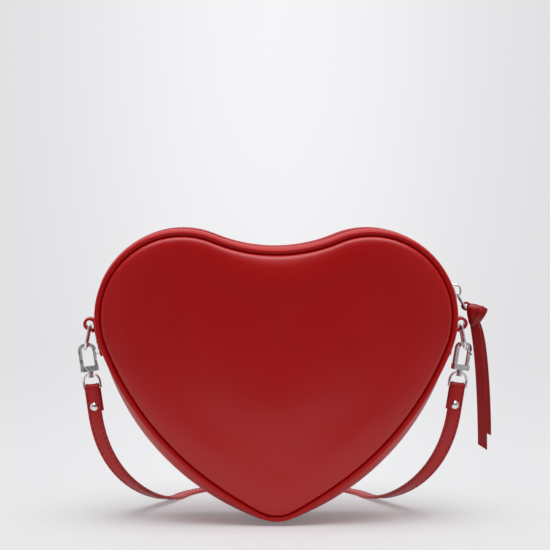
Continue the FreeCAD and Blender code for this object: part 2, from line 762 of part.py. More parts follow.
def make_clasp(side, seat):
    """Hook on a thicker base, with the slot and pin of its gate; the bar that hangs is at the origin."""
    frame = new_body(side + "_clasp_frame")
    left, right = "-" + CLASP_SIDE, CLASP_SIDE
    inner_right = "clasp_width / 2 - clasp_bar"
    inner_left = "-(%s)" % inner_right
    bar_foot = "-clasp_bar / 2"
    nose_foot = "clasp_bar / 2 - nose_length"
    spine_foot = BASE_TOP + " - clasp_bar / 2"
    outline = add_outline(new_sketch(frame, "XZ_Plane"), (
        (left, spine_foot), (inner_left, spine_foot), (inner_left, bar_foot), (inner_right, bar_foot),
        (inner_right, nose_foot), (right, nose_foot), (right, CLASP_TOP), (left, CLASP_TOP)))
    hook = pad(frame, outline, "clasp_depth", symmetric=True)
    outer = round_corners(frame, hook, ((right, CLASP_TOP), (left, CLASP_TOP)), "clasp_round")
    round_corners(frame, outer, ((inner_right, bar_foot), (inner_left, bar_foot)), "clasp_inner_round")
    base = add_rectangle(new_sketch(frame, "XZ_Plane"), left, right, CLASP_FOOT, BASE_TOP)
    pad(frame, base, "clasp_base_depth", symmetric=True)
    doc.recompute()
    slot = frame.newObject("PartDesign::Pocket", "gate_slot")
    slot.Profile = add_rectangle(new_sketch(frame, "XZ_Plane"), SLOT_BACK, CLASP_SIDE + " + overrun",
                                 SLOT_FLOOR, BASE_TOP + " + gate_gap")
    slot.SideType = "Symmetric"
    bind(slot, Length="gate_depth + 2 * gate_gap")
    pin_hole = add_circle(new_sketch(frame, "XZ_Plane"), GATE_PIN_X, GATE_PIN_Z, "gate_pin_radius")
    pocket_through(frame, pin_hole)
    bore = frame.newObject("PartDesign::Pocket", "stud_bore")
    stud_sketch = new_sketch(frame, "XY_Plane", CLASP_FOOT)
    bore.Profile = add_circle(stud_sketch, "0", "0", "stud_radius + stud_gap / 2")
    bore.Reversed = True
    bind(bore, Length="stud_depth")
    frame.Placement = seat

    pin_reach = worth("clasp_base_depth / 2")
    pin_spot = at(worth(GATE_PIN_X), -pin_reach, worth(GATE_PIN_Z), ALONG_Y)
    pin = cylinder("gate_pin_radius - stud_gap / 2", "clasp_base_depth", pin_spot)
    pin.Placement = seat * pin.Placement
    keep(side + "_gate_pin", pin)

    gate_foot = worth(GATE_PIN_Z) - size.gate_foot
    gate_top = worth(GATE_TOP)
    gate_right = worth("clasp_width / 2 - gate_inset")
    gate_left = gate_right - size.gate_width
    bar = block("gate_width", "gate_depth", "%s - %s + gate_foot" % (GATE_TOP, GATE_PIN_Z),
                at(gate_left, -size.gate_depth / 2, gate_foot))
    knob = cylinder("knob_radius", "knob_length + gate_inset",
                    at(gate_right - size.gate_inset, 0, gate_top - size.knob_drop, ALONG_X))
    eye = cylinder("gate_pin_radius + stud_gap", "gate_depth",
                   at(worth(GATE_PIN_X), -size.gate_depth / 2, worth(GATE_PIN_Z), ALONG_Y))
    gate = keep(side + "_gate", cut(side + "_gate", fused("lever", bar, knob), eye))
    gate.Placement = seat

    spring_high = "clasp_base_height - gate_floor - 2 * gate_gap"
    spring_spot = at(worth(SLOT_BACK + " + stud_gap"), -size.spring_width / 2,
                     worth(SLOT_FLOOR + " + gate_gap"))
    spring = block("spring_thickness", "spring_width", spring_high, spring_spot)
    spring.Placement = seat * spring.Placement
    keep(side + "_gate_spring", spring)


def make_eye(side, swivel):
    """Stud in the clasp's base, and the eye whose boss turns on it; gives the height of the eye's bar."""
    half = "(strap_width / 2 + strap_side_gap + eye_wire)"
    wide = worth(half)
    foot = worth(CLASP_FOOT)
    boss_top = foot - size.eye_gap
    boss_foot = boss_top - size.eye_boss_height
    bow_level = boss_top - size.eye_boss_height / 2 - wide
    bar_level = boss_top - size.eye_height + size.eye_wire
    leg = "eye_height - eye_wire - eye_boss_height / 2 - " + half
    parts = [cylinder("eye_boss_radius", "eye_boss_height", at(0, 0, boss_foot)),
             bow(half, "eye_wire", "180", at(0, 0, bow_level, IN_XZ)),
             cylinder("eye_wire", "2 * " + half, at(-wide, 0, bar_level, ALONG_X))]
    for end in (-1, 1):
        parts.append(cylinder("eye_wire", leg, at(end * wide, 0, bar_level)))
        parts.append(ball("eye_wire", at(end * wide, 0, bar_level)))
    bore = cylinder("stud_radius + stud_gap", "eye_boss_height", at(0, 0, boss_foot))
    eye = keep(side + "_eye", cut(side + "_eye", fused("loop", *parts), bore))
    eye.Placement = swivel
    shank = "stud_depth + eye_gap + eye_boss_height + eye_gap"
    head_top = boss_foot - size.eye_gap
    stud = fused(side + "_swivel_stud",
                 cylinder("stud_radius", shank, at(0, 0, head_top)),
                 cylinder("stud_head_radius", "stud_head_height", at(0, 0, head_top - size.stud_head_height)))
    keep(side + "_swivel_stud", stud)
    stud.Placement = swivel
    return bar_level


FOLD_BORE = "(eye_wire + fit_gap)"
FOLD_OUTER = "(eye_wire + fit_gap + strap_thickness)"


def make_strap_end(side, swivel, bar_level):
    """Strap end folded round the eye's bar and riveted; gives the middle of the front ply's end."""
    across = -size.strap_width / 2
    roll = cylinder(FOLD_OUTER, "strap_width", at(across, 0, bar_level, ALONG_X))
    front = block("strap_width", FOLD_OUTER, "fold_front",
                  at(across, -worth(FOLD_OUTER), bar_level - size.fold_front))
    back = block("strap_width", FOLD_OUTER, "fold_back", at(across, 0, bar_level - size.fold_back))
    bore = cylinder(FOLD_BORE, "strap_width", at(across, 0, bar_level, ALONG_X))
    gap = block("strap_width", "2 * " + FOLD_BORE, "fold_front",
                at(across, -worth(FOLD_BORE), bar_level - size.fold_front))
    rivet_level = bar_level - size.rivet_drop
    hole = cylinder("rivet_radius + fit_gap / 2", "2 * " + FOLD_OUTER,
                    at(0, -worth(FOLD_OUTER), rivet_level, ALONG_Y))
    plies = fused("fold", roll, front, back)
    fold = keep(side + "_strap_end", cut(side + "_strap_end", plies, bore, gap, hole))
    fold.Placement = swivel
    face = worth(FOLD_OUTER)
    shank = cylinder("rivet_radius", "2 * " + FOLD_OUTER, at(0, -face, rivet_level, ALONG_Y))
    cap = cylinder("rivet_cap_radius", "rivet_cap_height", at(0, face, rivet_level, ALONG_Y))
    dome_radius = "((rivet_head_radius ^ 2 + rivet_head_height ^ 2) / 2 / rivet_head_height)"
    dome = ball(dome_radius, at(0, worth(dome_radius + " - rivet_head_height") - face, rivet_level))
    reach = 2 * worth(dome_radius)
    shave = bind(placed(doc.addObject("Part::Box", "shave"), at(-reach / 2, -face, rivet_level - reach / 2)),
                 Length="2 * " + dome_radius, Width="2 * " + dome_radius, Height="2 * " + dome_radius)
    rivet = keep(side + "_rivet", fused(side + "_rivet", shank, cap, cut("dome", dome, shave)))
    rivet.Placement = swivel
    ply_middle = size.strap_thickness / 2 - face
    return swivel * at(0, ply_middle, bar_level - size.fold_front - size.fit_gap)


def make_side(side, way, lean, turn, eye_turn):
    bar = make_tab(side, way)
    hang = make_ring(side, way, bar, turn)
    swivel = Placement(hang, Rotation(Vector(0, 1, 0), way * (tab_slope() + lean)))
    make_clasp(side, swivel * at(0, 0, 0, Rotation(Vector(0, 0, 1), turn)))
    eye_seat = swivel * at(0, 0, 0, Rotation(Vector(0, 0, 1), eye_turn))
    return make_strap_end(side, eye_seat, make_eye(side, eye_seat))


# Strap, from the left fold down to the floor, round behind the purse and up to the right fold


def strap_drop(end, way):
    """Sections from a folded end to the floor: place, heading and outer face direction."""
    touch = math.radians(size.floor_touch_angle)
    radius = size.floor_arc_radius
    level = size.strap_thickness / 2
    landing = Vector(way * radius * math.cos(touch), size.floor_arc_back + radius * math.sin(touch), level)
    down = end.Rotation.multVec(Vector(0, 0, -1))
    onward = Vector(-way * math.sin(touch), math.cos(touch), 0)
    knots = (end.Base, end.Base + down * size.strap_drop_pull,
             landing - onward * size.strap_floor_pull, landing)
    facing = end.Rotation.multVec(Vector(0, -1, 0))
    sections = []
    for step in range(STRAP_DROP_SECTIONS):
        part = step / STRAP_DROP_SECTIONS
        rest = 1 - part
        spot = (knots[0] * rest ** 3 + knots[1] * (3 * rest ** 2 * part)
                + knots[2] * (3 * rest * part ** 2) + knots[3] * part ** 3)
        heading = ((knots[1] - knots[0]) * rest ** 2 + (knots[2] - knots[1]) * (2 * rest * part)
                   + (knots[3] - knots[2]) * part ** 2)
        roll = part ** 2 * (3 - 2 * part) * math.pi / 2
        sections.append((spot, heading, facing * math.cos(roll) + Vector(0, 0, -1) * math.sin(roll)))
    return sections


def strap_section(spot, heading, facing):
    """Rectangle across the strap."""
    across = heading.cross(facing).normalize()
    facing = across.cross(heading).normalize()
    side = across * (size.strap_width / 2)
    face = facing * (size.strap_thickness / 2)
    corners = [spot - side - face, spot + side - face, spot + side + face, spot - side + face]
    return Part.makePolygon(corners + corners[:1])


def make_strap(left_end, right_end):
    touch = math.radians(size.floor_touch_angle)
    radius = size.floor_arc_radius
    floor = []
    for step in range(STRAP_FLOOR_SECTIONS + 1):
        angle = math.pi - touch + (2 * touch - math.pi) * step / STRAP_FLOOR_SECTIONS
        spot = Vector(radius * math.cos(angle), size.floor_arc_back + radius * math.sin(angle),
                      size.strap_thickness / 2)
        floor.append((spot, Vector(math.sin(angle), -math.cos(angle), 0), Vector(0, 0, -1)))
    left = strap_drop(left_end, -1)
    right = [(spot, -heading, facing) for spot, heading, facing in reversed(strap_drop(right_end, 1))]
    route = left + floor + right
    length = sum((second[0] - first[0]).Length for first, second in zip(route, route[1:]))
    print("strap between its folded ends: %.0f mm" % length)
    strap = doc.addObject("Part::Feature", "strap")
    strap.Shape = Part.makeLoft([strap_section(*section) for section in route], True, True)
    keep("strap", strap)


make_panels()
make_gusset()
make_zip()
make_pull(make_slider())
left_end = make_side("left", -1, size.left_lean, size.left_turn, size.left_eye_turn)
right_end = make_side("right", 1, size.right_lean, size.right_turn, size.right_eye_turn)
make_strap(left_end, right_end)
doc.recompute()

for item in doc.Objects:
    if "Invalid" in item.State or "Error" in item.State:
        raise RuntimeError("%s (%s) failed to build" % (item.Label, item.Name))
for label, item in pieces.items():
    if item.Shape.isNull() or not item.Shape.isValid() or not item.Shape.Solids:
        raise RuntimeError("%s has no valid solid" % label)

os.makedirs("parts", exist_ok=True)
for label, item in pieces.items():
    item.Shape.exportStep("parts/%s.step" % label)
print("%d pieces written" % len(pieces))
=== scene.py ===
import json
import math

import bpy
from mathutils import Matrix, Vector, noise


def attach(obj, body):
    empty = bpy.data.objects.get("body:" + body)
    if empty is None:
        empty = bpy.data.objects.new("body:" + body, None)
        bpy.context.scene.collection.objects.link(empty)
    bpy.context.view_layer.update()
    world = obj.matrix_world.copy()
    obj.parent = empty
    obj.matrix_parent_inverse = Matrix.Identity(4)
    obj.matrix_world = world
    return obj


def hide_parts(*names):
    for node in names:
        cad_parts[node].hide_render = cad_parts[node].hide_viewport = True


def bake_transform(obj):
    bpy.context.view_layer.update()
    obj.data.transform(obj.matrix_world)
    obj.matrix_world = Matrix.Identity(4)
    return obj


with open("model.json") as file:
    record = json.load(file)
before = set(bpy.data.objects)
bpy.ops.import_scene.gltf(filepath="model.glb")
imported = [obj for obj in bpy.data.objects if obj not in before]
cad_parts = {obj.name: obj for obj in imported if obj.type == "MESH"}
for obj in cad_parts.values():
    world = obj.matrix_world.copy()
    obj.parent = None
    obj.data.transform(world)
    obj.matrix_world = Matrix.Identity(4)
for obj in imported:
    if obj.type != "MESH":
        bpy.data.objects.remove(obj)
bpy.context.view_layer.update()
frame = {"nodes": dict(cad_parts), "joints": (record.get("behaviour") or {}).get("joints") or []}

bl_info = {
    "name": "Heart purse",
    "version": (1, 0, 0),
    "blender": (4, 5, 0),
    "location": "3D View > Sidebar > Purse",
    "description": "Leather, stitching, hardware finish and studio for a heart shaped purse",
    "category": "Add Mesh",
}

MM = 0.001
BACK, DOWN = Vector((0, 1, 0)), Vector((0, 0, -1))

# The two faces along Y and the two sides along X
FACES = {"front": -1, "back": 1}
SIDES = {"left": -1, "right": 1}

# Heart outline of the seam, as in the solids: arcs of the lobes, the dip, the flanks and the tip
LOBE_X, LOBE_Z, LOBE_R = 54.4 * MM, 120.8 * MM, 47 * MM
DIP_R, FLANK_R = 95 * MM, 178 * MM
TIP_Z, TIP_R = 31 * MM, 24 * MM
TIP_SAG, TIP_REACH = 1.4 * MM, 20 * MM
SEAM_Y, MIDDLE_Z = 23 * MM, 95 * MM

# How many points each arc of a half outline gets, and how far below a lobe's centre the zip ends
DIP_STEPS, LOBE_STEPS, SIDE_STEPS, FLANK_STEPS, TIP_STEPS = 16, 60, 14, 54, 16
ZIP_POINTS = DIP_STEPS + LOBE_STEPS
JOINT_DROP = 1.5 * MM

# How far each unit of a seed moves the noise, and steps round the corner of a strip
SEED_SHIFT, CORNER_STEPS = (1.0, 1.7, 2.3), 3

# Panels: the rounded edge, its rows, the dome inside it and the waves of the leather
PANEL_EDGE, LIP_SHARE, SHOULDER_SHARE = 17 * MM, 0.44, 0.42
DIP_REACH, DIP_LEVEL = 28 * MM, TIP_Z + LOBE_R
PANEL_SKIRT, PANEL_TUCK = 0.9 * MM, 0.1 * MM
EDGE_STEPS, EDGE_POWER, PANEL_RINGS = 24, 2.4, 18
DOME_RISE, DOME_FALL, DOME_SHARE = 1.1, 0.12, 0.7
DOME_WIDE, DOME_HIGH = 80 * MM, 70 * MM
LONG_WAVE, SHORT_WAVE, SHORT_SHARE, SHORT_SEED = 42 * MM, 19 * MM, 0.4, 5

# Piping: its radius and sides, and how it swells along the seam
PIPING_R, PIPING_SIDES = 1.6 * MM, 14
PIPING_SWELL, PIPING_WAVE, PIPING_SEED = 0.03, 6 * MM, 3.0

# Gusset: the crown of its bands, their leather, the fold and puff along the zip, and the slack
BAND_HALF, BAND_POINTS, BAND_SLACK = 21.3 * MM, 17, 0.7
LOBE_CROWN, TIP_CROWN, CROWN_FLANK_R = 3.2 * MM, 7.6 * MM, 147 * MM
LEATHER = 1.2 * MM
ZIP_EDGE, FOLD_IN, ZIP_DROP = 4.5 * MM, 3 * MM, 0.9 * MM
FRONT_PUFF, BACK_PUFF, PUFF_TAPER = 1.1 * MM, -0.9 * MM, 14
GATHER_SHARE, GATHER_WAVE, GATHER_SEED = 0.5, 4.5 * MM, 11.0
SLACK_SHARE, SLACK_WAVE, SLACK_SEED = 0.5, 24 * MM, 7.0
FLOOR_CLEAR = 0.02 * MM

# Zip tapes, with a bead along the teeth
TAPE_GROW, TAPE_THICK, TAPE_EDGE, TAPE_TUCK = 1.7 * MM, 0.75 * MM, 1.6 * MM, 3 * MM
TAPE_BEAD = 0.35 * MM

# Stitches: the share of the pitch that shows and half the thickness of the thread on each piece
ZIP_STITCH, STRAP_STITCH, TAB_STITCH = (0.74, 0.22 * MM), (0.66, 0.31 * MM), (0.72, 0.26 * MM)
# Their distance from an edge, and from the zip in points of a band's section
STITCH_INSET, ZIP_STITCH_ROW = 1.3 * MM, 3
# The form of one stitch: steps along it and round it, and shares of that half thickness
STITCH_STEPS, STITCH_SIDES = 4, 6
STITCH_RISE, STITCH_SINK, STITCH_END, STITCH_FLAT = 0.9, 0.5, 0.25, 0.8

# Strap and its folded ends
STRAP_WIDTH, STRAP_THICK, STRAP_CORNER = 8.6 * MM, 1.5 * MM, 0.45 * MM
EYE_BAR_LEVEL = -25.3 * MM
FOLD_RADIUS, FOLD_STEPS = 1.6 * MM, 12
FOLD_FRONT, FOLD_BACK = 15.5 * MM, 14 * MM
FLOOR_ARC_R, FLOOR_ARC_Y, FLOOR_ARC_STEPS = 61 * MM, 58.5 * MM, 60
FLOOR_TOUCH = math.radians(18)
DROP_PULL, FLOOR_PULL = 45 * MM, 30 * MM
EYE_TURN = {"left": math.radians(-20), "right": math.radians(12)}
# Steps of the hanging strap, those at which its stretches meet, and those at which each bend ends
DROP_STEPS = 72
STRETCHES = (0, 16, 34, DROP_STEPS)
BEND_ENDS = (16, 34, 57)

# Tabs: two plies on the gusset, folded into a loop at the top
TAB_WIDTH, TAB_PLY, TAB_GAP, TAB_CORNER = 9.6 * MM, 1.6 * MM, 0.3 * MM, 0.5 * MM
TAB_LOOP_R, TAB_HOLE_R, TAB_LOOP_STEPS = 3.8 * MM, 2.1 * MM, 24
TAB_TURN, TAB_LOOP_END = math.radians(5.5), -math.pi / 3
TAB_INNER_END, TAB_OUTER_END, TAB_NECK = 23.8 * MM, 10 * MM, 1.2 * MM
TAB_PULL, TAB_OUTER_STEPS, TAB_STITCH_GAP = 0.4, 8, 1.5 * MM

# Thong, in millimetres from its eye: width, thickness and corner of its loop, flap and tails
LOOP_STRIP, FLAP_STRIP, TAIL_STRIP = (3.6, 1.2, 0.4), (4.6, 1.3, 0.4), (5.6, 1.3, 0.4)
LOOP_STEPS, LOOP_MIDDLE, LOOP_REACH = 28, (0.9, 0.5), (2.2, 2.0)
# Knot: height, middle, half width and half depth of each section
KNOT = ((1.9, 5.0, 1.9, 1.3), (1.2, 5.7, 3.9, 2.3), (0.0, 6.4, 5.3, 3.2), (-1.4, 6.6, 5.7, 3.7),
        (-3.2, 6.5, 5.4, 3.7), (-5.2, 6.2, 4.7, 3.3), (-7.2, 5.9, 3.8, 2.7), (-8.8, 5.7, 3.2, 2.3),
        (-10.3, 5.8, 2.8, 2.0))
KNOT_POINTS, KNOT_TILT, KNOT_TILT_LEVEL = 36, -0.13, -2
KNOT_FOLDS, KNOT_FOLD_DEPTH, KNOT_FOLD_START, KNOT_FOLD_TWIST = 3, 0.05, 0.9, 0.25
FLAP = ((11.4, -1.9, -0.3), (10.9, -3.1, -1.7), (9.9, -3.9, -3.4), (8.7, -4.0, -5.2), (7.4, -3.3, -7.2),
        (6.4, -1.9, -9.2), (6.0, -0.6, -11.0))
FLAP_FACING = (0.35, -1, 0.15)
# Tails: shift to the right, depth, length, slant of the cut end and turn of each
TAILS = ((0.1, -1.0, 72.0, 3.6, -0.35), (2.7, 0.95, 64.5, 2.6, 0.3))
TAIL_STEPS, TAIL_TOP, TAIL_START, TAIL_BOW, TAIL_BEND = 32, -8.9, 5.7, 5.9, 32.0
TAIL_GATHER, TAIL_GATHER_REACH, TAIL_CLOSING = 0.7, 7, 0.3
TAIL_TWIST, TAIL_TWIST_TURNS, TAIL_CUT = 0.12, 5, 0.1

# Solids that keep their shape: reach of the weld, sharp angle, and broken edges of cast and fine pieces
WELD_REACH, SHARP_ANGLE, BEVEL_SEGMENTS = 0.001 * MM, math.radians(40), 4
CAST_EDGE, FINE_EDGE = 0.75 * MM, 0.2 * MM

# Leather: share of the colour, roughness and gloss of each kind
LEATHERS = {
    "leather": (1.0, 0.3, 0.5),
    "soft_leather": (1.0, 0.42, 0.3),
    "strap_leather": (0.95, 0.42, 0.5),
    "thong_leather": (0.62, 0.36, 0.4),
}
# Share of the leather's colour in the thread along the zip, the tapes and the teeth
ZIP_THREAD_SHARE, TAPE_SHARE, TEETH_SHARE = 0.85, 0.46, 0.53
# Waves in a metre, share of the height and share of the roughness of the leather's grain
PEBBLE_SCALE, PEBBLE_SHARE = 1500.0, 0.7
PORE_SCALE, PORE_SHARE, PORE_ROUGH = 2600.0, 0.3, 0.04
CLOUD_SCALE, CLOUD_ROUGH = 38.0, 0.03
TONE_LOW, TONE_HIGH = 0.94, 1.06
# Metal: its roughness, scuffs and shallow dents
METAL_ROUGH, SCUFF_SCALE, SCUFF_ROUGH, DENT_SCALE = 0.16, 700.0, 0.06, 260.0
# Taken off a roughness, because the grain only adds to it
ROUGH_SHIFT = 0.03

# Floor: rings of its mesh, and the distances and least share of its fade into the backdrop
FLOOR_RINGS, CIRCLE_STEPS = (0.002, 0.3, 1.0, 3.0, 30.0), 96
FADE_START, FADE_END, FADE_LEAST = 0.05, 0.2, 0.2
# Screen: its arc, radius and level of each row, tones, and where its paler sides begin and end
SCREEN_ARC = (math.radians(-170), math.radians(-10))
SCREEN_ROWS = ((0.335, 0.001), (0.4, 0.001), (0.4, 0.36))
SCREEN_DARK, SCREEN_PALE, PALE_START, PALE_END = 0.14, 0.46, 0.1, 0.16
# Soft box above the set
LIGHT_PLACE, LIGHT_TARGET, LIGHT_SIZE = (0.0, -0.5, 2.2), (0.0, 0.0, 0.08), (2.4, 1.8)
# Backdrop: direction, upright squeeze, reach and gain of its glow, and the lighter zone low down
GLOW, GLOW_SQUEEZE, GLOW_REACH, GLOW_GAIN = (0.021, 0.998, 0.024), (1.0, 1.0, 0.4), 0.15, 1.22
LOW_START, LOW_END, LOW_SHARE = -0.09, -0.16, 0.4
# Width of the camera's sensor in millimetres
SENSOR = 36.0


# Properties that a user would change


class PurseShape(bpy.types.PropertyGroup):
    """Sizes of the soft pieces."""

    panel_rise: bpy.props.FloatProperty(
        name="Panel rise", description="How far a padded panel stands out from its seam",
        default=5.5 * MM, unit="LENGTH")
    panel_lip: bpy.props.FloatProperty(
        name="Panel lip", description="Reach of the tight rounding at the edge of a panel",
        default=0.85 * MM, unit="LENGTH")
    panel_shoulder: bpy.props.FloatProperty(
        name="Panel shoulder", description="Reach of the slow rounding behind the lip",
        default=8 * MM, unit="LENGTH")
    dip_pull: bpy.props.FloatProperty(
        name="Pull at the dip", description="Share by which the shoulder is higher between the lobes",
        default=0.9, min=0.0)
    slack: bpy.props.FloatProperty(
        name="Slack", description="Height of the soft waves in the leather",
        default=0.3 * MM, unit="LENGTH")
    stitch_pitch: bpy.props.FloatProperty(
        name="Stitch pitch", description="Distance from one stitch to the next",
        default=3.4 * MM, unit="LENGTH")


class PurseLook(bpy.types.PropertyGroup):
    """Colours of the materials."""

    leather: bpy.props.FloatVectorProperty(
        name="Leather", description="Colour of the leather", subtype="COLOR", default=(0.56, 0.004, 0.005))
    thread: bpy.props.FloatVectorProperty(
        name="Thread", description="Colour of the stitching", subtype="COLOR", default=(0.24, 0.004, 0.005))
    metal: bpy.props.FloatVectorProperty(
        name="Metal", description="Colour of the hardware", subtype="COLOR", default=(0.83, 0.83, 0.84))
    floor: bpy.props.FloatVectorProperty(
        name="Floor", description="Colour of the floor", subtype="COLOR", default=(0.825, 0.845, 0.855))
    backdrop: bpy.props.FloatVectorProperty(
        name="Backdrop", description="Colour behind the floor", subtype="COLOR", default=(0.75, 0.75, 0.765))


class PurseStage(bpy.types.PropertyGroup):
    """Camera and light."""

    eye: bpy.props.FloatVectorProperty(
        name="Camera", description="Place of the camera", subtype="TRANSLATION", unit="LENGTH",
        default=(-0.02687, -1.223, 0.2202))
    target: bpy.props.FloatVectorProperty(
        name="Target", description="Point at the middle of the picture", subtype="TRANSLATION", unit="LENGTH",
        default=(-0.00087, -0.023, 0.1453))
    lens: bpy.props.FloatProperty(
        name="Lens", description="Focal length on a 36 mm sensor", default=137.3, unit="CAMERA")
    top_power: bpy.props.FloatProperty(
        name="Top light", description="Power of the soft box above", default=45.0, unit="POWER")
    ambient: bpy.props.FloatProperty(
        name="Ambient", description="Strength of the light from all round", default=0.45, min=0.0)


# Shader values that take part in Python arithmetic


class Value:
    """A shader socket with arithmetic; the sums become math nodes."""

    def __init__(self, shade, socket):
        self.shade = shade
        self.socket = socket

    def math(self, operation, *others):
        """A math node with this value as its first."""
        sockets = dict(enumerate((self, *others)))
        return self.shade.node("ShaderNodeMath", {"operation": operation}, sockets)

    def __add__(self, other):
        return self.math("ADD", other)

    def __sub__(self, other):
        return self.math("SUBTRACT", other)

    def __mul__(self, other):
        return self.math("MULTIPLY", other)

    def __rsub__(self, other):
        return (self - other) * -1.0

    __radd__ = __add__
    __rmul__ = __mul__


class Shade:
    """A material or world whose nodes are made from plain calls."""

    def __init__(self, owner):
        owner.use_nodes = True
        self.tree = owner.node_tree
        self.tree.nodes.clear()

    def node(self, kind, settings=None, sockets=None, output=0):
        """Any node: its type, its settings, and the values or links of its sockets."""
        made = self.tree.nodes.new(kind)
        for name, setting in (settings or {}).items():
            setattr(made, name, setting)
        for name, given in (sockets or {}).items():
            if isinstance(given, Value):
                self.tree.links.new(given.socket, made.inputs[name])
            else:
                made.inputs[name].default_value = given
        return Value(self, made.outputs[output] if len(made.outputs) else None)

    def place(self):
        return self.node("ShaderNodeTexCoord", output="Object")

    def vector(self, operation, *given, output="Vector"):
        """A vector math node."""
        return self.node("ShaderNodeVectorMath", {"operation": operation}, dict(enumerate(given)), output)

    def grain(self, scale, detail=2.0):
        """Noise between 0 and 1, its scale in waves per metre."""
        return self.node("ShaderNodeTexNoise", {}, {"Vector": self.place(), "Scale": scale, "Detail": detail})

    def bands(self, direction, scale, distortion):
        """Waves between 0 and 1 along a direction."""
        return self.node("ShaderNodeTexWave", {"bands_direction": direction}, {
            "Vector": self.place(), "Scale": scale, "Distortion": distortion}, output=1)

    def ease(self, value, start, end, least=0.0):
        """Smooth rise from the least to 1 while a value goes from start to end."""
        return self.node("ShaderNodeMapRange", {"interpolation_type": "SMOOTHSTEP"}, {
            "Value": value, "From Min": start, "From Max": end, "To Min": least})

    def any_ray(self, *kinds):
        """1 for a ray of one of these kinds, 0 for any other."""
        rays = [self.node("ShaderNodeLightPath", output="Is %s Ray" % kind) for kind in kinds]
        return sum(rays).math("MINIMUM", 1.0)

    def seen_ray(self):
        """1 for a ray that the camera, a mirror or glass sees, 0 for one that only lights."""
        return self.any_ray("Camera", "Glossy", "Transmission")

    def tint(self, dark, light, factor):
        """A colour between two others."""
        return self.node("ShaderNodeMix", {"data_type": "RGBA"}, {
            "Factor": factor, 6: (*dark, 1.0), 7: (*light, 1.0)}, output=2)

    def bump(self, height, strength, depth):
        return self.node("ShaderNodeBump", {}, {"Height": height, "Strength": strength, "Distance": depth})

    def surface(self, **sockets):
        """The main shader of a material."""
        shader = self.node("ShaderNodeBsdfPrincipled", {}, {
            name.replace("_", " "): given for name, given in sockets.items()})
        self.node("ShaderNodeOutputMaterial", {}, {"Surface": shader})

    def mixed(self, factor, first, second):
        """A main shader that a factor takes from the first to the second."""
        shader = self.node("ShaderNodeMixShader", {}, {0: factor, 1: first, 2: second})
        self.node("ShaderNodeOutputMaterial", {}, {"Surface": shader})


def scaled(colour, share):
    return tuple(part * share for part in colour)


def make_leather(shade, colour, rough, gloss):
    """Smooth leather with a fine pebble, its tone a little uneven."""
    pebble = shade.node("ShaderNodeTexVoronoi", {"feature": "SMOOTH_F1"}, {
        "Vector": shade.place(), "Scale": PEBBLE_SCALE, "Smoothness": 0.6})
    cloud = shade.grain(CLOUD_SCALE, detail=3.0)
    pores = shade.grain(PORE_SCALE)
    height = PEBBLE_SHARE * pebble + PORE_SHARE * pores
    shade.surface(
        Base_Color=shade.tint(scaled(colour, TONE_LOW), scaled(colour, TONE_HIGH), cloud),
        Roughness=cloud * CLOUD_ROUGH + pores * PORE_ROUGH + (rough - ROUGH_SHIFT), Specular_IOR_Level=gloss,
        Normal=shade.bump(height, strength=0.35, depth=0.05 * MM))


def make_thread(shade, colour):
    """Twisted thread."""
    twist = shade.bands("DIAGONAL", scale=900.0, distortion=1.0)
    shade.surface(Base_Color=(*colour, 1.0), Roughness=0.7,
                  Normal=shade.bump(twist, strength=0.4, depth=0.05 * MM))


def make_metal(shade, colour):
    """Polished hardware, lightly scuffed."""
    scuff = shade.grain(SCUFF_SCALE, detail=3.0)
    dents = shade.grain(DENT_SCALE, detail=1.0)
    shade.surface(Base_Color=(*colour, 1.0), Metallic=1.0,
                  Roughness=scuff * SCUFF_ROUGH + (METAL_ROUGH - ROUGH_SHIFT),
                  Normal=shade.bump(dents, strength=1.0, depth=0.5 * MM))


def make_cloth(shade, colour):
    """Woven zip tape, with painted shade between its threads."""
    weave_and_shade = shade.bands("Y", scale=420.0, distortion=2.0)
    # The same height paints the tape darker where it sinks: painted shade between the threads.
    shade.surface(Base_Color=shade.tint(scaled(colour, 0.8), colour, weave_and_shade), Roughness=0.85,
                  Normal=shade.bump(weave_and_shade, strength=0.6, depth=0.1 * MM))


def make_plastic(shade, colour):
    """Moulded teeth, a little uneven in their gloss."""
    shade.surface(Base_Color=(*colour, 1.0), Roughness=shade.grain(500.0) * 0.1 + 0.3)


def look(name):
    """A material by its name, made at first use."""
    material = bpy.data.materials.get(name)
    if material:
        return material
    material = bpy.data.materials.new(name)
    colours = bpy.context.scene.purse_look
    leather = tuple(colours.leather)
    if name in LEATHERS:
        share, rough, gloss = LEATHERS[name]
        make_leather(Shade(material), scaled(leather, share), rough, gloss)
        return material
    maker, colour = {
        "thread": (make_thread, tuple(colours.thread)),
        "zip_thread": (make_thread, scaled(leather, ZIP_THREAD_SHARE)),
        "metal": (make_metal, tuple(colours.metal)),
        "tape": (make_cloth, scaled(leather, TAPE_SHARE)),
        "teeth": (make_plastic, scaled(leather, TEETH_SHARE)),
    }[name]
    maker(Shade(material), colour)
    return material


# Meshes from rows of points


def add_mesh(name, points, faces, materials, indices=None):
    """A smooth object from its points and faces."""
    mesh = bpy.data.meshes.new(name)
    mesh.from_pydata([tuple(point) for point in points], [], faces)
    for material in materials:
        mesh.materials.append(material)
    if indices:
        mesh.polygons.foreach_set("material_index", indices)
    mesh.polygons.foreach_set("use_smooth", [True] * len(mesh.polygons))
    mesh.validate()
    piece = bpy.data.objects.new(name, mesh)
    bpy.context.scene.collection.objects.link(piece)
    return piece


def grid_faces(rows, columns, wrap_rows=False, wrap_columns=False, start=0):
    """Quads of a grid stored row by row."""
    faces = []
    for row in range(rows if wrap_rows else rows - 1):
        after = (row + 1) % rows
        for column in range(columns if wrap_columns else columns - 1):
            beside = (column + 1) % columns
            faces.append((start + row * columns + column, start + row * columns + beside,
                          start + after * columns + beside, start + after * columns + column))
    return faces


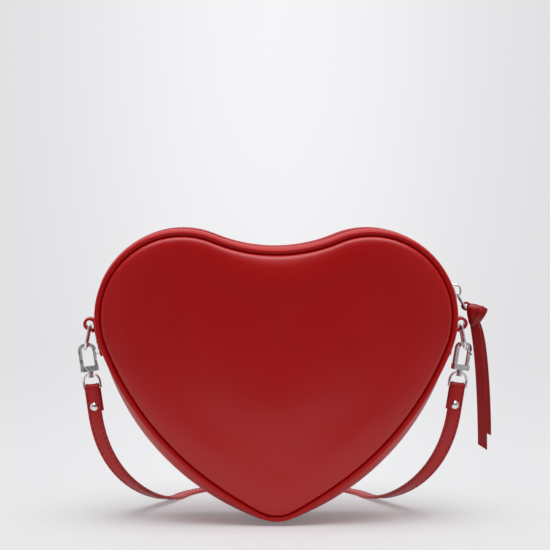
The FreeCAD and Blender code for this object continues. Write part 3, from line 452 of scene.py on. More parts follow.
class Build:
    """Points and faces of one piece, gathered from several forms."""

    def __init__(self):
        self.points = []
        self.faces = []
        self.indices = []

    def add_faces(self, faces, index=0):
        self.faces += faces
        self.indices += [index] * len(faces)

    def grid(self, rows, wrap_rows=False, wrap_columns=False, index=0):
        """A skin over rows of points."""
        faces = grid_faces(len(rows), len(rows[0]), wrap_rows, wrap_columns, len(self.points))
        self.points += [point for row in rows for point in row]
        self.add_faces(faces, index)

    def cap(self, row):
        """Close an open end with a fan."""
        start = len(self.points)
        count = len(row)
        self.points += list(row) + [sum(row, Vector()) / count]
        self.add_faces([(start + step, start + (step + 1) % count, start + count) for step in range(count)])

    def tube(self, rows):
        """Closed section rows swept along a path, with both ends shut."""
        self.grid(rows, wrap_columns=True)
        self.cap(rows[0][::-1])
        self.cap(rows[-1])

    def stitch(self, place, along, out, kind):
        """One thread, in the second material, that dips into the leather at both ends."""
        share, thick = kind
        length = bpy.context.scene.purse_shape.stitch_pitch * share
        side = along.cross(out).normalized()
        rows = []
        for step in range(STITCH_STEPS + 1):
            turn = math.pi * step / STITCH_STEPS
            rise = math.sin(turn)
            center = (place - along * (length / 2 * math.cos(turn))
                      + out * (thick * (STITCH_RISE * rise - STITCH_SINK)))
            reach = thick * max(STITCH_END, rise)
            row = []
            for part in range(STITCH_SIDES):
                angle = math.tau * part / STITCH_SIDES
                row.append(center + side * (reach * math.cos(angle))
                           + out * (reach * STITCH_FLAT * math.sin(angle)))
            rows.append(row)
        self.grid(rows, wrap_columns=True, index=1)

    def piece(self, name, *materials):
        return add_mesh(name, self.points, self.faces, [look(kind) for kind in materials], self.indices)


def rounded(width, thick, corner):
    """Points of a rounded rectangle, across and out."""
    points = []
    for way_x, way_y, start in ((1, 1, 0), (-1, 1, 1), (-1, -1, 2), (1, -1, 3)):
        for step in range(CORNER_STEPS + 1):
            turn = (start + step / CORNER_STEPS) * math.pi / 2
            points.append((way_x * (width / 2 - corner) + corner * math.cos(turn),
                           way_y * (thick / 2 - corner) + corner * math.sin(turn)))
    return points


def section(place, along, out, outline):
    """An outline set square to a path."""
    across = along.cross(out).normalized()
    out = across.cross(along).normalized()
    return [place + across * x + out * y for x, y in outline]


def headings(path):
    """Direction at each point of a path, from its neighbours."""
    last = len(path) - 1
    return [(path[min(index + 1, last)] - path[max(index - 1, 0)]).normalized() for index in range(last + 1)]


def stitch_places(line):
    """Places a stitch pitch apart along a line, with their directions."""
    pitch = bpy.context.scene.purse_shape.stitch_pitch
    places = []
    carried = pitch / 2
    for first, second in zip(line, line[1:]):
        span = second - first
        length = span.length
        while carried < length:
            places.append((first + span * (carried / length), span / length))
            carried += pitch
        carried -= length
    return places


def finish(piece, body, slot, *nodes):
    """Hide the nodes that a piece stands for, and tie the piece to its body; the slot is not used."""
    if nodes:
        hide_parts(*nodes)
    if body:
        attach(piece, body)


# The heart outline


def tangent_center(first, first_reach, second, second_reach):
    """Point at given distances from two points, on the side of lower X."""
    span = second - first
    along = (first_reach ** 2 - second_reach ** 2 + span.length_squared) / (2 * span.length)
    aside = math.sqrt(first_reach ** 2 - along ** 2)
    unit = span.normalized()
    square = Vector((-unit.y, unit.x))
    foot = first + unit * along
    return min(foot + square * aside, foot - square * aside, key=lambda point: point.x)


def arc(center, radius, start, end, steps):
    """Points of an arc without its last one."""
    turns = (start + (end - start) * step / steps for step in range(steps))
    return [Vector((center.x + radius * math.cos(turn), center.y + radius * math.sin(turn)))
            for turn in turns]


def half_heart(grow, tip_grow=None, flank=None):
    """Right half of a heart from the dip to the tip, a growth outside the seam."""
    tip_r = TIP_R + (grow if tip_grow is None else tip_grow)
    flank = FLANK_R + grow if flank is None else flank
    lobe_r = LOBE_R + grow
    lobe, tip = Vector((LOBE_X, LOBE_Z)), Vector((0.0, TIP_Z))
    dip = Vector((0.0, LOBE_Z + math.sqrt((DIP_R + LOBE_R) ** 2 - LOBE_X ** 2)))
    side = tangent_center(lobe, flank - lobe_r, tip, flank - tip_r)
    dip_turn = math.atan2(dip.y - lobe.y, dip.x - lobe.x)
    flank_turn = math.atan2(lobe.y - side.y, lobe.x - side.x)
    tip_turn = math.atan2(tip.y - side.y, tip.x - side.x)
    joint_turn = -math.asin(JOINT_DROP / lobe_r)
    low_turn = -math.pi / 2
    points = arc(dip, DIP_R - grow, low_turn, dip_turn - math.pi, DIP_STEPS)
    points += arc(lobe, lobe_r, dip_turn, joint_turn, LOBE_STEPS)
    points += arc(lobe, lobe_r, joint_turn, flank_turn, SIDE_STEPS)
    points += arc(side, flank, flank_turn, tip_turn, FLANK_STEPS)
    points += arc(tip, tip_r, tip_turn, low_turn, TIP_STEPS)
    return points + [Vector((0.0, TIP_Z - tip_r))]


def settled(points):
    """The same outline with its tip settled towards the floor, as soft leather does."""
    return [Vector((point.x, point.y - TIP_SAG * math.exp(-(point.x / TIP_REACH) ** 2)
                    * math.exp(-(point.y / TIP_Z) ** 4))) for point in points]


def whole_heart(grow):
    """Closed outline, from the dip round the right side and back up the left."""
    half = settled(half_heart(grow))
    return half + [Vector((-point.x, point.y)) for point in half[-2:0:-1]]


def at_depth(points, depth):
    """A flat outline stood upright at a depth."""
    return [Vector((point.x, depth, point.y)) for point in points]


def wave(place, size, seed):
    """Smooth unevenness between -1 and 1, its size in metres."""
    return noise.noise(place / size + Vector([seed * shift for shift in SEED_SHIFT]))


def gusset_growth(share, wall):
    """Growth of the crowned gusset at a share of its half width."""
    bulge = 1 - share ** 2
    return (PIPING_R - wall + (LOBE_CROWN - PIPING_R) * bulge,
            PIPING_R - wall + (TIP_CROWN - PIPING_R) * bulge,
            FLANK_R + PIPING_R - wall + (CROWN_FLANK_R - FLANK_R - PIPING_R) * bulge)


# Panels, piping and gusset


def panel_rise(inset, spot):
    """Height of a panel over its seam: a tight rounded lip, then a slow shoulder."""
    shape = bpy.context.scene.purse_shape
    dip = math.exp(-(spot.x / DIP_REACH) ** 2) * (spot.y > DIP_LEVEL)
    lip = LIP_SHARE * (1 - math.exp(-inset / shape.panel_lip))
    shoulder = SHOULDER_SHARE * (1 + shape.dip_pull * dip) * (1 - math.exp(-inset / shape.panel_shoulder))
    return shape.panel_rise * (lip + shoulder)


def panel_rows(way):
    """Rows of a padded panel from behind its seam to its middle."""
    shape = bpy.context.scene.purse_shape
    rows = [at_depth(whole_heart(PANEL_SKIRT), way * (SEAM_Y - PANEL_SKIRT))]
    for step in range(EDGE_STEPS + 1):
        inset = PANEL_EDGE * (step / EDGE_STEPS) ** EDGE_POWER
        rows.append([Vector((spot.x, way * (SEAM_Y + panel_rise(inset, spot)), spot.y))
                     for spot in whole_heart(-inset - PANEL_TUCK)])
    edge = rows[-1]
    middle = Vector((0.0, 0.0, MIDDLE_Z))
    for ring in range(1, PANEL_RINGS):
        share = ring / PANEL_RINGS
        soft = (1 - math.cos(math.pi * min(1.0, share / DOME_SHARE))) / 2
        row = []
        for point in edge:
            spot = point.lerp(middle, share)
            fall = ((spot.x / DOME_WIDE) ** 2 + ((spot.z - middle.z) / DOME_HIGH) ** 2) * DOME_FALL
            dome = way * (SEAM_Y + shape.panel_rise * (DOME_RISE - fall))
            spot.y = point.y + (dome - point.y) * soft
            row.append(spot)
        rows.append(row)
    for number, row in enumerate(rows[2:], 2):
        soft = min(1.0, number / EDGE_STEPS)
        for point in row:
            swell = wave(point, LONG_WAVE, way) + SHORT_SHARE * wave(point, SHORT_WAVE, way + SHORT_SEED)
            point.y += way * soft * shape.slack * swell
    return rows


def make_panel(face, way):
    """Padded heart that stands for the leather, foam and lining of one face."""
    build = Build()
    rows = panel_rows(way)
    if way > 0:
        rows = [row[::-1] for row in rows]
    build.grid(rows, wrap_columns=True)
    build.cap(rows[-1])
    panel = build.piece(face + "_leather_panel", "leather")
    finish(panel, "bag", "red_leather", face + "_panel", face + "_foam", face + "_lining")


def make_piping(face, way):
    """Covered cord along the seam."""
    rows = []
    for place, rim in zip(whole_heart(PIPING_R), whole_heart(2 * PIPING_R)):
        out = (rim - place).normalized()
        outward = Vector((out.x, 0, out.y))
        swell = 1 + PIPING_SWELL * wave(Vector((place.x, way, place.y)), PIPING_WAVE, PIPING_SEED)
        row = []
        for side in range(PIPING_SIDES):
            turn = math.tau * side / PIPING_SIDES
            reach = outward * math.cos(turn) + BACK * math.sin(turn)
            row.append(Vector((place.x, way * SEAM_Y, place.y)) + reach * (PIPING_R * swell))
        rows.append(row)
    build = Build()
    build.grid(rows, wrap_rows=True, wrap_columns=True)
    finish(build.piece(face + "_cord_piping", "soft_leather"), "bag", "red_leather", face + "_piping")


def zip_puff(share):
    """Rise of a soft band between the zip and the seam: the front one puffs up, the back one lies flatter."""
    part = (abs(share) * BAND_HALF - ZIP_EDGE) / (BAND_HALF - ZIP_EDGE)
    return 4 * part * (1 - part) * (FRONT_PUFF if share < 0 else BACK_PUFF)


def band_rows(first, last, zip_part):
    """Lines along a gusset band: outer side from front to back, then the inner side back again."""
    slack = bpy.context.scene.purse_shape.slack * BAND_SLACK
    shares = [first + (last - first) * step / (BAND_POINTS - 1) for step in range(BAND_POINTS)]
    rows = []
    for wall, order in ((0.0, shares), (LEATHER, shares[::-1])):
        for share in order:
            turned = max(0.0, 1 - (abs(share) * BAND_HALF - ZIP_EDGE) / FOLD_IN) if zip_part else 0.0
            half = half_heart(*gusset_growth(share, wall + ZIP_DROP * turned ** 2))
            points = half[:ZIP_POINTS + 1] if zip_part else half[ZIP_POINTS:]
            mirrored = [Vector((-point.x, point.y)) for point in points]
            line = mirrored[:0:-1] + points if zip_part else points + mirrored[-2::-1]
            row = at_depth(line, share * BAND_HALF)
            puff = zip_puff(share) if zip_part else 0.0
            for index, (point, low) in enumerate(zip(row, settled(line))):
                taper = min(1.0, index / PUFF_TAPER, (len(row) - 1 - index) / PUFF_TAPER)
                point.z += (low.y - point.z) * share ** 2
                out = Vector((point.x, 0, point.z - MIDDLE_Z)).normalized()
                gather = (share ** 4 * GATHER_SHARE * wave(point, GATHER_WAVE, GATHER_SEED)
                          + SLACK_SHARE * wave(point, SLACK_WAVE, SLACK_SEED))
                point += out * (slack * gather + puff * taper)
                point.z = max(point.z, FLOOR_CLEAR)
            rows.append(row)
    return rows


def band_form(rows):
    """A gusset band with both ends shut."""
    build = Build()
    build.grid(rows, wrap_rows=True)
    build.cap([row[0] for row in rows])
    build.cap([row[-1] for row in rows][::-1])
    return build


def make_gusset():
    """The lower band, and the two stitched bands along the zip."""
    lower = band_form(band_rows(-1.0, 1.0, False)).piece("lower_leather_gusset", "soft_leather")
    finish(lower, "bag", "red_leather", "lower_gusset", "gusset_lining")
    edge = ZIP_EDGE / BAND_HALF
    for face, first, last, stitched in (("front", -1.0, -edge, BAND_POINTS - 1 - ZIP_STITCH_ROW),
                                        ("back", edge, 1.0, ZIP_STITCH_ROW)):
        rows = band_rows(first, last, True)
        build = band_form(rows)
        for place, along in stitch_places(rows[stitched]):
            build.stitch(place, along, along.cross(BACK).normalized() * -1, ZIP_STITCH)
        piece = build.piece(face + "_leather_zip_gusset", "soft_leather", "zip_thread")
        finish(piece, "bag", "red_leather", face + "_zip_gusset")


# Strap


def joint(name):
    return next(item for item in frame["joints"] if item["name"] == name)


def hang_frame(side):
    """Frame of a strap end: origin at the clasp's bar, Z up along the swivel."""
    swivel = joint(side + "_eye_swivel")
    up = Vector(swivel["axis"]).normalized()
    right = BACK.cross(up).normalized()
    upright = Matrix((right, BACK, up)).transposed()
    place = (upright @ Matrix.Rotation(EYE_TURN[side], 3, "Z")).to_4x4()
    place.translation = Vector(swivel["pos_m"])
    return place


def bezier(knots, part):
    """Place and heading on a cubic curve."""
    rest = 1 - part
    spot = (knots[0] * rest ** 3 + knots[1] * (3 * rest ** 2 * part)
            + knots[2] * (3 * rest * part ** 2) + knots[3] * part ** 3)
    heading = ((knots[1] - knots[0]) * rest ** 2 + (knots[2] - knots[1]) * (2 * rest * part)
               + (knots[3] - knots[2]) * part ** 2).normalized()
    return spot, heading


def strap_drop(side, way):
    """Strap from a folded end to the floor: place, heading and direction of the outer face."""
    place = hang_frame(side)
    start = place @ Vector((0, -FOLD_RADIUS, EYE_BAR_LEVEL - FOLD_FRONT))
    landing = Vector((way * FLOOR_ARC_R * math.cos(FLOOR_TOUCH),
                      FLOOR_ARC_Y + FLOOR_ARC_R * math.sin(FLOOR_TOUCH), STRAP_THICK / 2))
    downward = -place.col[2].to_3d()
    onward = Vector((-way * math.sin(FLOOR_TOUCH), math.cos(FLOOR_TOUCH), 0))
    knots = (start, start + downward * DROP_PULL, landing - onward * FLOOR_PULL, landing)
    facing = -place.col[1].to_3d()
    line = []
    for step in range(DROP_STEPS):
        part = step / DROP_STEPS
        spot, heading = bezier(knots, part)
        roll = part ** 2 * (3 - 2 * part) * math.pi / 2
        line.append((spot, heading, facing * math.cos(roll) + DOWN * math.sin(roll)))
    return line


def strap_floor(steps):
    """Strap on the floor behind the bag, from the left landing to the right one."""
    line = []
    for step in range(steps + 1):
        turn = math.pi - FLOOR_TOUCH + (2 * FLOOR_TOUCH - math.pi) * step / steps
        across, along = math.cos(turn), math.sin(turn)
        spot = Vector((FLOOR_ARC_R * across, FLOOR_ARC_Y + FLOOR_ARC_R * along, STRAP_THICK / 2))
        line.append((spot, Vector((along, -across, 0)), DOWN))
    return line


def strap_form(line, stitched=(-1, 1)):
    """Flat strap with rounded edges, a row of stitches along both on each stitched face."""
    build = Build()
    outline = rounded(STRAP_WIDTH, STRAP_THICK, STRAP_CORNER)
    build.tube([section(spot, heading, facing, outline) for spot, heading, facing in line])
    for edge in (-1, 1):
        aside = edge * (STRAP_WIDTH / 2 - STITCH_INSET)
        for face in stitched:
            row = []
            for spot, heading, facing in line:
                across = heading.cross(facing).normalized()
                out = across.cross(heading).normalized() * face
                row.append((spot + across * aside + out * (STRAP_THICK / 2), out))
            for place, along in stitch_places([place for place, out in row]):
                out = min(row, key=lambda item: (item[0] - place).length_squared)[1]
                if place.z > STRAP_THICK or out.z > 0:
                    build.stitch(place, along, out, STRAP_STITCH)
    return build


def make_strap_side(side, way):
    """The hanging strap in three stretches."""
    # The floor line runs from left to right, so on the right side its heading turns round
    spot, heading, facing = strap_floor(1)[0 if way < 0 else -1]
    line = strap_drop(side, way) + [(spot, heading * -way, facing)]
    for number, bend_end in enumerate(BEND_ENDS):
        part = line[STRETCHES[number]:STRETCHES[number + 1] + 1]
        piece = strap_form(part).piece("%s_strap_%d" % (side, number + 1), "strap_leather", "thread")
        finish(piece, None, "red_leather")
        tuple(part[0][0])
        tuple(line[bend_end][0])
        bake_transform(piece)


def make_strap_floor():
    """The strap on the floor, which stands for the whole strap of the solids."""
    piece = strap_form(strap_floor(FLOOR_ARC_STEPS)).piece("floor_strap", "strap_leather", "thread")
    finish(piece, "bag", "red_leather", "strap")


def fold_route():
    """Middle of a folded strap end in its own frame: up the front, round the bar and down the back."""
    route = []
    for step in range(FOLD_STEPS):
        level = EYE_BAR_LEVEL - FOLD_FRONT * (1 - step / FOLD_STEPS)
        route.append((Vector((0, -FOLD_RADIUS, level)), -DOWN))
    for step in range(FOLD_STEPS + 1):
        angle = math.pi * step / FOLD_STEPS
        level = EYE_BAR_LEVEL + FOLD_RADIUS * math.sin(angle)
        route.append((Vector((0, -FOLD_RADIUS * math.cos(angle), level)),
                      Vector((0, math.sin(angle), math.cos(angle)))))
    for step in range(1, FOLD_STEPS + 1):
        level = EYE_BAR_LEVEL - FOLD_BACK * step / FOLD_STEPS
        route.append((Vector((0, FOLD_RADIUS, level)), DOWN))
    return route


def make_strap_end(side):
    """Strap end folded round the bar of the eye, stitched on its outer face."""
    place = hang_frame(side)
    turn = place.to_3x3()
    line = [(place @ spot, turn @ along, turn @ Vector((0, -along.z, along.y)))
            for spot, along in fold_route()]
    piece = strap_form(line, stitched=(1,)).piece(side + "_strap_fold", "strap_leather", "thread")
    finish(piece, side + "_eye_body", "red_leather", side + "_strap_end")


# Tabs


def between(points, low, high):
    """The stretch of a falling line between two heights, from the lower end up."""
    stretch = []
    for first, second in zip(points, points[1:]):
        for level in (high, low):
            if second.y < level <= first.y:
                stretch.append(first.lerp(second, (first.y - level) / (first.y - second.y)))
        if low < second.y < high:
            stretch.append(second)
    return sorted(stretch, key=lambda point: point.y)


def gusset_side(lift):
    """Middle line of the gusset below the zip, a lift outside it."""
    return half_heart(LOBE_CROWN + lift, TIP_CROWN + lift, CROWN_FLANK_R + lift)[ZIP_POINTS:]


def tab_line():
    """Middle of the strip on the right side: up the gusset, round the loop and back on itself."""
    reach = LOBE_R + LOBE_CROWN + TAB_GAP + TAB_LOOP_R
    center = Vector((LOBE_X + reach * math.cos(TAB_TURN), LOBE_Z - reach * math.sin(TAB_TURN)))
    lift = TAB_GAP + TAB_PLY / 2
    line = between(gusset_side(lift), LOBE_Z - TAB_INNER_END, center.y - TAB_NECK)
    middle = (TAB_LOOP_R + TAB_HOLE_R) / 2
    first = math.pi - TAB_TURN
    for step in range(TAB_LOOP_STEPS + 1):
        turn = first + (TAB_LOOP_END - first) * step / TAB_LOOP_STEPS
        line.append(center + Vector((math.cos(turn), math.sin(turn))) * middle)
    start = line[-1]
    end = between(gusset_side(lift + TAB_PLY), LOBE_Z - TAB_OUTER_END, LOBE_Z)[0]
    pull = TAB_PULL * (start - end).length
    knots = (start, start + Vector((math.sin(TAB_LOOP_END), -math.cos(TAB_LOOP_END))) * pull,
             end + Vector((0, pull)), end)
    for step in range(1, TAB_OUTER_STEPS + 1):
        line.append(bezier(knots, step / TAB_OUTER_STEPS)[0])
    return line


def make_tab(side, way):
    """Folded tab, stitched to the gusset below its outer ply."""
    line = [Vector((way * point.x, 0, point.y)) for point in tab_line()]
    outline = rounded(TAB_WIDTH, TAB_PLY, TAB_CORNER)
    build = Build()
    rows = []
    lower = []
    for index, (spot, along) in enumerate(zip(line, headings(line))):
        out = along.cross(BACK) * way
        rows.append(section(spot, along, out, outline))
        if spot.z < LOBE_Z - TAB_OUTER_END - TAB_STITCH_GAP and index < len(line) / 2:
            lower.append(spot - out * (TAB_PLY / 2))
    build.tube(rows)
    for edge in (-1, 1):
        row = [spot + BACK * (edge * (TAB_WIDTH / 2 - STITCH_INSET)) for spot in lower]
        for place, along in stitch_places(row):
            build.stitch(place, along, along.cross(BACK) * -way, TAB_STITCH)
    finish(build.piece(side + "_leather_tab", "leather", "thread"), "bag", "red_leather", side + "_tab")


# Zip pull


def thong_outline(strip):
    """Section of a strip of the thong."""
    return rounded(*(size * MM for size in strip))


def thong_loop(eye, build):
    """Narrow strip round the end of the link."""
    outline = thong_outline(LOOP_STRIP)
    rows = []
    for step in range(LOOP_STEPS):
        angle = math.tau * step / LOOP_STEPS
        out = Vector((math.cos(angle), 0, math.sin(angle)))
        along = Vector((-math.sin(angle), 0, math.cos(angle)))
        spot = Vector((LOOP_MIDDLE[0] + LOOP_REACH[0] * out.x, 0, LOOP_MIDDLE[1] + LOOP_REACH[1] * out.z))
        rows.append(section(eye + spot * MM, along, out, outline))
    build.grid(rows, wrap_rows=True, wrap_columns=True)


def thong_knot(eye, build):
    """Tapered knot with a flap that wraps round its front."""
    rows = []
    for level, middle, wide, deep in KNOT:
        row = []
        for step in range(KNOT_POINTS):
            angle = math.tau * step / KNOT_POINTS
            phase = KNOT_FOLDS * angle + KNOT_FOLD_START + level * KNOT_FOLD_TWIST
            fold = 1 + KNOT_FOLD_DEPTH * math.cos(phase)
            tilt = KNOT_TILT * wide * math.cos(angle) * (level > KNOT_TILT_LEVEL)
            row.append(eye + Vector((middle + wide * fold * math.cos(angle),
                                     deep * fold * math.sin(angle), level + tilt)) * MM)
        rows.append(row)
    build.tube(rows[::-1])
    outline = thong_outline(FLAP_STRIP)
    facing = Vector(FLAP_FACING).normalized()
    path = [eye + Vector(point) * MM for point in FLAP]
    build.tube([section(spot, along, facing, outline) for spot, along in zip(path, headings(path))])


def thong_tail(eye, build, shift, depth, length, slant, turn):
    """Flat tail that bows outwards, its end cut at a slant."""
    outline = thong_outline(TAIL_STRIP)
    rows = []
    for step in range(TAIL_STEPS + 1):
        share = step / TAIL_STEPS
        fall = share * length
        fade = math.exp(-fall / TAIL_BEND)
        spread = 1 - TAIL_GATHER * math.exp(-fall / TAIL_GATHER_REACH)
        aside = TAIL_START + TAIL_BOW * (1 - fade) + shift * spread
        spot = Vector((aside, depth * (1 - TAIL_CLOSING * share), TAIL_TOP - fall)) * MM
        along = Vector((TAIL_BOW / TAIL_BEND * fade, 0, -1)).normalized()
        facing = Vector((turn + TAIL_TWIST * math.sin(TAIL_TWIST_TURNS * share), -1, 0)).normalized()
        cut = slant * max(0.0, share - (1 - TAIL_CUT)) / TAIL_CUT
        row = []
        for point in section(eye + spot, along, facing, outline):
            across = (point - eye - spot).x / TAIL_STRIP[0] + 0.5 * MM
            row.append(point + DOWN * (cut * across))
        rows.append(row)
    build.tube(rows)


def make_thong():
    """Leather thong: a loop on the link, a knot and two tails."""
    eye = Vector(joint("pull_thong_swing")["pos_m"])
    build = Build()
    thong_loop(eye, build)
    thong_knot(eye, build)
    for tail in TAILS:
        thong_tail(eye, build, *tail)
    finish(build.piece("leather_thong", "thong_leather"), "thong", "red_leather", "pull_thong")


# Hardware and zip keep their solids and get a finish


def dress(node, material, edge=0.0):
    """Give a solid its finish, and broken edges where a width is given."""
    part = frame["nodes"][node]
    part.data.materials.clear()
    part.data.materials.append(look(material))
    part.data.polygons.foreach_set("use_smooth", [True] * len(part.data.polygons))
    weld = part.modifiers.new("joined faces", "WELD")
    weld.merge_threshold = WELD_REACH
    if edge:
        bevel = part.modifiers.new("broken edges", "BEVEL")
        bevel.width = edge
        bevel.segments = BEVEL_SEGMENTS
        bevel.limit_method = "ANGLE"
        bevel.angle_limit = SHARP_ANGLE
    split = part.modifiers.new("sharp edges", "EDGE_SPLIT")
    split.split_angle = SHARP_ANGLE
    normals = part.modifiers.new("flat faces", "WEIGHTED_NORMAL")
    normals.keep_sharp = True


def make_hardware():
    """Finish the metal pieces, the cast ones with broken edges."""
    for side in SIDES:
        for name in ("clasp_frame", "gate"):
            dress(side + "_" + name, "metal", CAST_EDGE)
        for name in ("d_ring", "gate_pin", "swivel_stud", "gate_spring", "eye", "rivet"):
            dress(side + "_" + name, "metal")
    dress("slider_body", "metal", FINE_EDGE)
    for name in ("slider_bail", "pull_link"):
        dress(name, "metal")


def make_zip():
    """Woven tapes with a bead along the teeth, and the finish of the teeth and stops."""
    half = half_heart(TAPE_GROW)[:ZIP_POINTS]
    inner = half_heart(TAPE_GROW - TAPE_THICK)[:ZIP_POINTS]
    for face, way in FACES.items():
        first, last = way * TAPE_EDGE, way * (ZIP_EDGE + TAPE_TUCK)
        rows = []
        for side, points in ((-1, zip(half[:0:-1], inner[:0:-1])), (1, zip(half, inner))):
            for over, under in points:
                crest = over + (over - under).normalized() * TAPE_BEAD
                corners = ((under, first), (crest, first), (crest, first + way * 2 * TAPE_BEAD),
                           (over, first + way * 3 * TAPE_BEAD), (over, last), (under, last))
                rows.append([Vector((side * point.x, depth, point.y)) for point, depth in corners[::way]])
        build = Build()
        build.tube(rows)
        finish(build.piece(face + "_woven_tape", "tape"), "bag", "zip_tape", face + "_zip_tape")
        dress(face + "_zip_teeth", "teeth", FINE_EDGE)
    dress("zip_stops", "teeth", FINE_EDGE)


# Floor, light and camera


def put_up(name, data, place, target):
    """A light or camera in its place, aimed at a point."""
    thing = bpy.data.objects.new(name, data)
    thing.location = place
    thing.rotation_euler = (Vector(target) - Vector(place)).to_track_quat("-Z", "Y").to_euler()
    bpy.context.scene.collection.objects.link(thing)
    return thing


def stage_mesh(name, rows, material, wrap=False):
    """A piece of the stage from rows of points."""
    points = [point for row in rows for point in row]
    thing = add_mesh(name, points, grid_faces(len(rows), len(rows[0]), wrap_columns=wrap), [material])


def circle_row(radius, level, start=0.0, end=math.tau):
    """Points round the set at a level."""
    turns = [start + (end - start) * step / CIRCLE_STEPS for step in range(CIRCLE_STEPS)]
    return [Vector((radius * math.cos(turn), radius * math.sin(turn), level)) for turn in turns]


def make_floor(colour):
    """Pale floor that gives way to the backdrop at a distance from the purse."""
    material = bpy.data.materials.new("floor")
    shade = Shade(material)
    away = shade.vector("LENGTH", shade.place(), output="Value")
    fade = shade.ease(away, FADE_START, FADE_END, FADE_LEAST)
    paper = shade.node("ShaderNodeBsdfPrincipled", {}, {
        "Base Color": (*colour, 1.0), "Roughness": 0.8, "Specular IOR Level": 0.1})
    clear = shade.node("ShaderNodeBsdfTransparent")
    shade.mixed(fade * shade.seen_ray(), paper, clear)
    stage_mesh("floor", [circle_row(radius, 0.0) for radius in FLOOR_RINGS], material, wrap=True)


def make_screen():
    """Dark screen in front of the set that only reflected and bounced light meets, paler at its sides."""
    material = bpy.data.materials.new("screen")
    shade = Shade(material)
    aside = shade.node("ShaderNodeSeparateXYZ", {}, {0: shade.place()}, output="X").math("ABSOLUTE")
    pale = shade.ease(aside, PALE_START, PALE_END) * shade.any_ray("Glossy")
    cloths = [shade.node("ShaderNodeBsdfDiffuse", {}, {"Color": (tone, tone, tone, 1.0)})
              for tone in (SCREEN_DARK, SCREEN_PALE)]
    cloth = shade.node("ShaderNodeMixShader", {}, {0: pale, 1: cloths[0], 2: cloths[1]})
    clear = shade.node("ShaderNodeBsdfTransparent")
    shade.mixed(shade.any_ray("Glossy", "Diffuse"), clear, cloth)
    stage_mesh("screen", [circle_row(*row, *SCREEN_ARC) for row in SCREEN_ROWS], material)


def make_backdrop(colour, ambient):
    """World with a soft glow behind the purse, at full strength only where it is seen."""
    world = bpy.data.worlds.new("studio")
    bpy.context.scene.world = world
    shade = Shade(world)
    strength = shade.seen_ray() * (1.0 - ambient) + ambient
    heading = shade.node("ShaderNodeTexCoord", output="Generated")
    squeezed = shade.vector("MULTIPLY", heading, GLOW_SQUEEZE)
    glow = 1.0 - shade.ease(shade.vector("DISTANCE", squeezed, GLOW, output="Value"), 0.0, GLOW_REACH)
    level = shade.node("ShaderNodeSeparateXYZ", {}, {0: heading}, output="Z")
    low = shade.ease(level, LOW_START, LOW_END)
    tone = shade.tint(colour, scaled(colour, GLOW_GAIN), glow + low * LOW_SHARE)
    background = shade.node("ShaderNodeBackground", {}, {"Color": tone, "Strength": strength})
    shade.node("ShaderNodeOutputWorld", {}, {"Surface": background})


def make_stage():
    """Floor, screen, soft box, backdrop and camera."""
    scene = bpy.context.scene
    stage = scene.purse_stage
    make_floor(tuple(scene.purse_look.floor))
    make_screen()
    light = bpy.data.lights.new("top_light", "AREA")
    light.shape = "RECTANGLE"
    light.size, light.size_y = LIGHT_SIZE
    light.energy = stage.top_power
    put_up("top_light", light, LIGHT_PLACE, LIGHT_TARGET)
    make_backdrop(tuple(scene.purse_look.backdrop), stage.ambient)
    camera = bpy.data.cameras.new("camera")
    camera.lens = stage.lens
    camera.sensor_width = SENSOR
    scene.camera = put_up("camera", camera, stage.eye, stage.target)
    scene.view_settings.view_transform = "Standard"


# Operators and panel


class PURSE_OT_panels(bpy.types.Operator):
    """Make the padded front and back panels"""

    bl_idname = "purse.panels"
    bl_label = "Panels"

    def execute(self, context):
        for face, way in FACES.items():
            make_panel(face, way)
        return {"FINISHED"}


class PURSE_OT_piping(bpy.types.Operator):
    """Make the piping in both seams"""

    bl_idname = "purse.piping"
    bl_label = "Piping"

    def execute(self, context):
        for face, way in FACES.items():
            make_piping(face, way)
        return {"FINISHED"}


class PURSE_OT_gusset(bpy.types.Operator):
    """Make the crowned gusset in its three bands"""

    bl_idname = "purse.gusset"
    bl_label = "Gusset"

    def execute(self, context):
        make_gusset()
        return {"FINISHED"}


class PURSE_OT_strap(bpy.types.Operator):
    """Make the stitched strap and its folded ends"""

    bl_idname = "purse.strap"
    bl_label = "Strap"

    def execute(self, context):
        for side, way in SIDES.items():
            make_strap_side(side, way)
            make_strap_end(side)
        make_strap_floor()
        return {"FINISHED"}


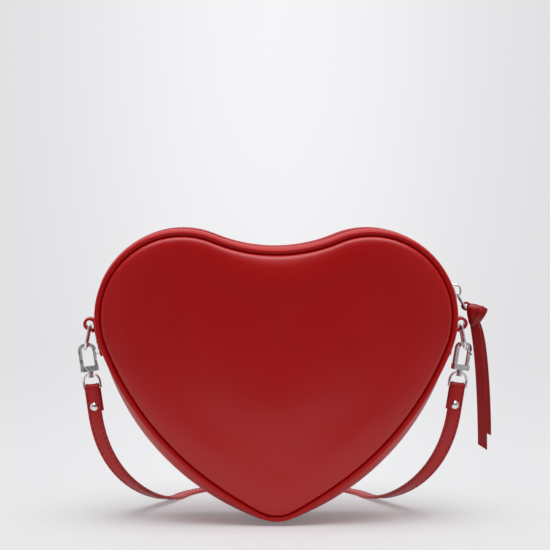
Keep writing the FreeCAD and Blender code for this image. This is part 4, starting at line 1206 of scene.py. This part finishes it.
class PURSE_OT_tabs(bpy.types.Operator):
    """Make the leather tabs that hold the rings"""

    bl_idname = "purse.tabs"
    bl_label = "Tabs"

    def execute(self, context):
        for side, way in SIDES.items():
            make_tab(side, way)
        return {"FINISHED"}


class PURSE_OT_zip(bpy.types.Operator):
    """Finish the zip and make the leather pull"""

    bl_idname = "purse.zip"
    bl_label = "Zip"

    def execute(self, context):
        make_zip()
        make_thong()
        return {"FINISHED"}


class PURSE_OT_hardware(bpy.types.Operator):
    """Finish the metal pieces"""

    bl_idname = "purse.hardware"
    bl_label = "Hardware"

    def execute(self, context):
        make_hardware()
        return {"FINISHED"}


class PURSE_OT_stage(bpy.types.Operator):
    """Set up the floor, the light and the camera"""

    bl_idname = "purse.stage"
    bl_label = "Stage"

    def execute(self, context):
        make_stage()
        return {"FINISHED"}


STEPS = (PURSE_OT_panels, PURSE_OT_piping, PURSE_OT_gusset, PURSE_OT_strap, PURSE_OT_tabs, PURSE_OT_zip,
         PURSE_OT_hardware, PURSE_OT_stage)


class PURSE_PT_panel(bpy.types.Panel):
    """Lists the steps and the settings"""

    bl_idname = "PURSE_PT_panel"
    bl_label = "Heart purse"
    bl_space_type = "VIEW_3D"
    bl_region_type = "UI"
    bl_category = "Purse"

    def draw(self, context):
        for step in STEPS:
            self.layout.operator(step.bl_idname)
        for group in (context.scene.purse_shape, context.scene.purse_look, context.scene.purse_stage):
            for name in group.__annotations__:
                self.layout.prop(group, name)


GROUPS = {"purse_shape": PurseShape, "purse_look": PurseLook, "purse_stage": PurseStage}
CLASSES = (*GROUPS.values(), *STEPS, PURSE_PT_panel)


def register():
    for kind in CLASSES:
        bpy.utils.register_class(kind)
    for name, kind in GROUPS.items():
        setattr(bpy.types.Scene, name, bpy.props.PointerProperty(type=kind))


def unregister():
    for name in GROUPS:
        delattr(bpy.types.Scene, name)
    for kind in reversed(CLASSES):
        bpy.utils.unregister_class(kind)


def main():
    register()
    bpy.ops.purse.panels()
    bpy.ops.purse.piping()
    bpy.ops.purse.gusset()
    bpy.ops.purse.strap()
    bpy.ops.purse.tabs()
    bpy.ops.purse.zip()
    bpy.ops.purse.hardware()
    bpy.ops.purse.stage()


if __name__ == "__main__":
    main()
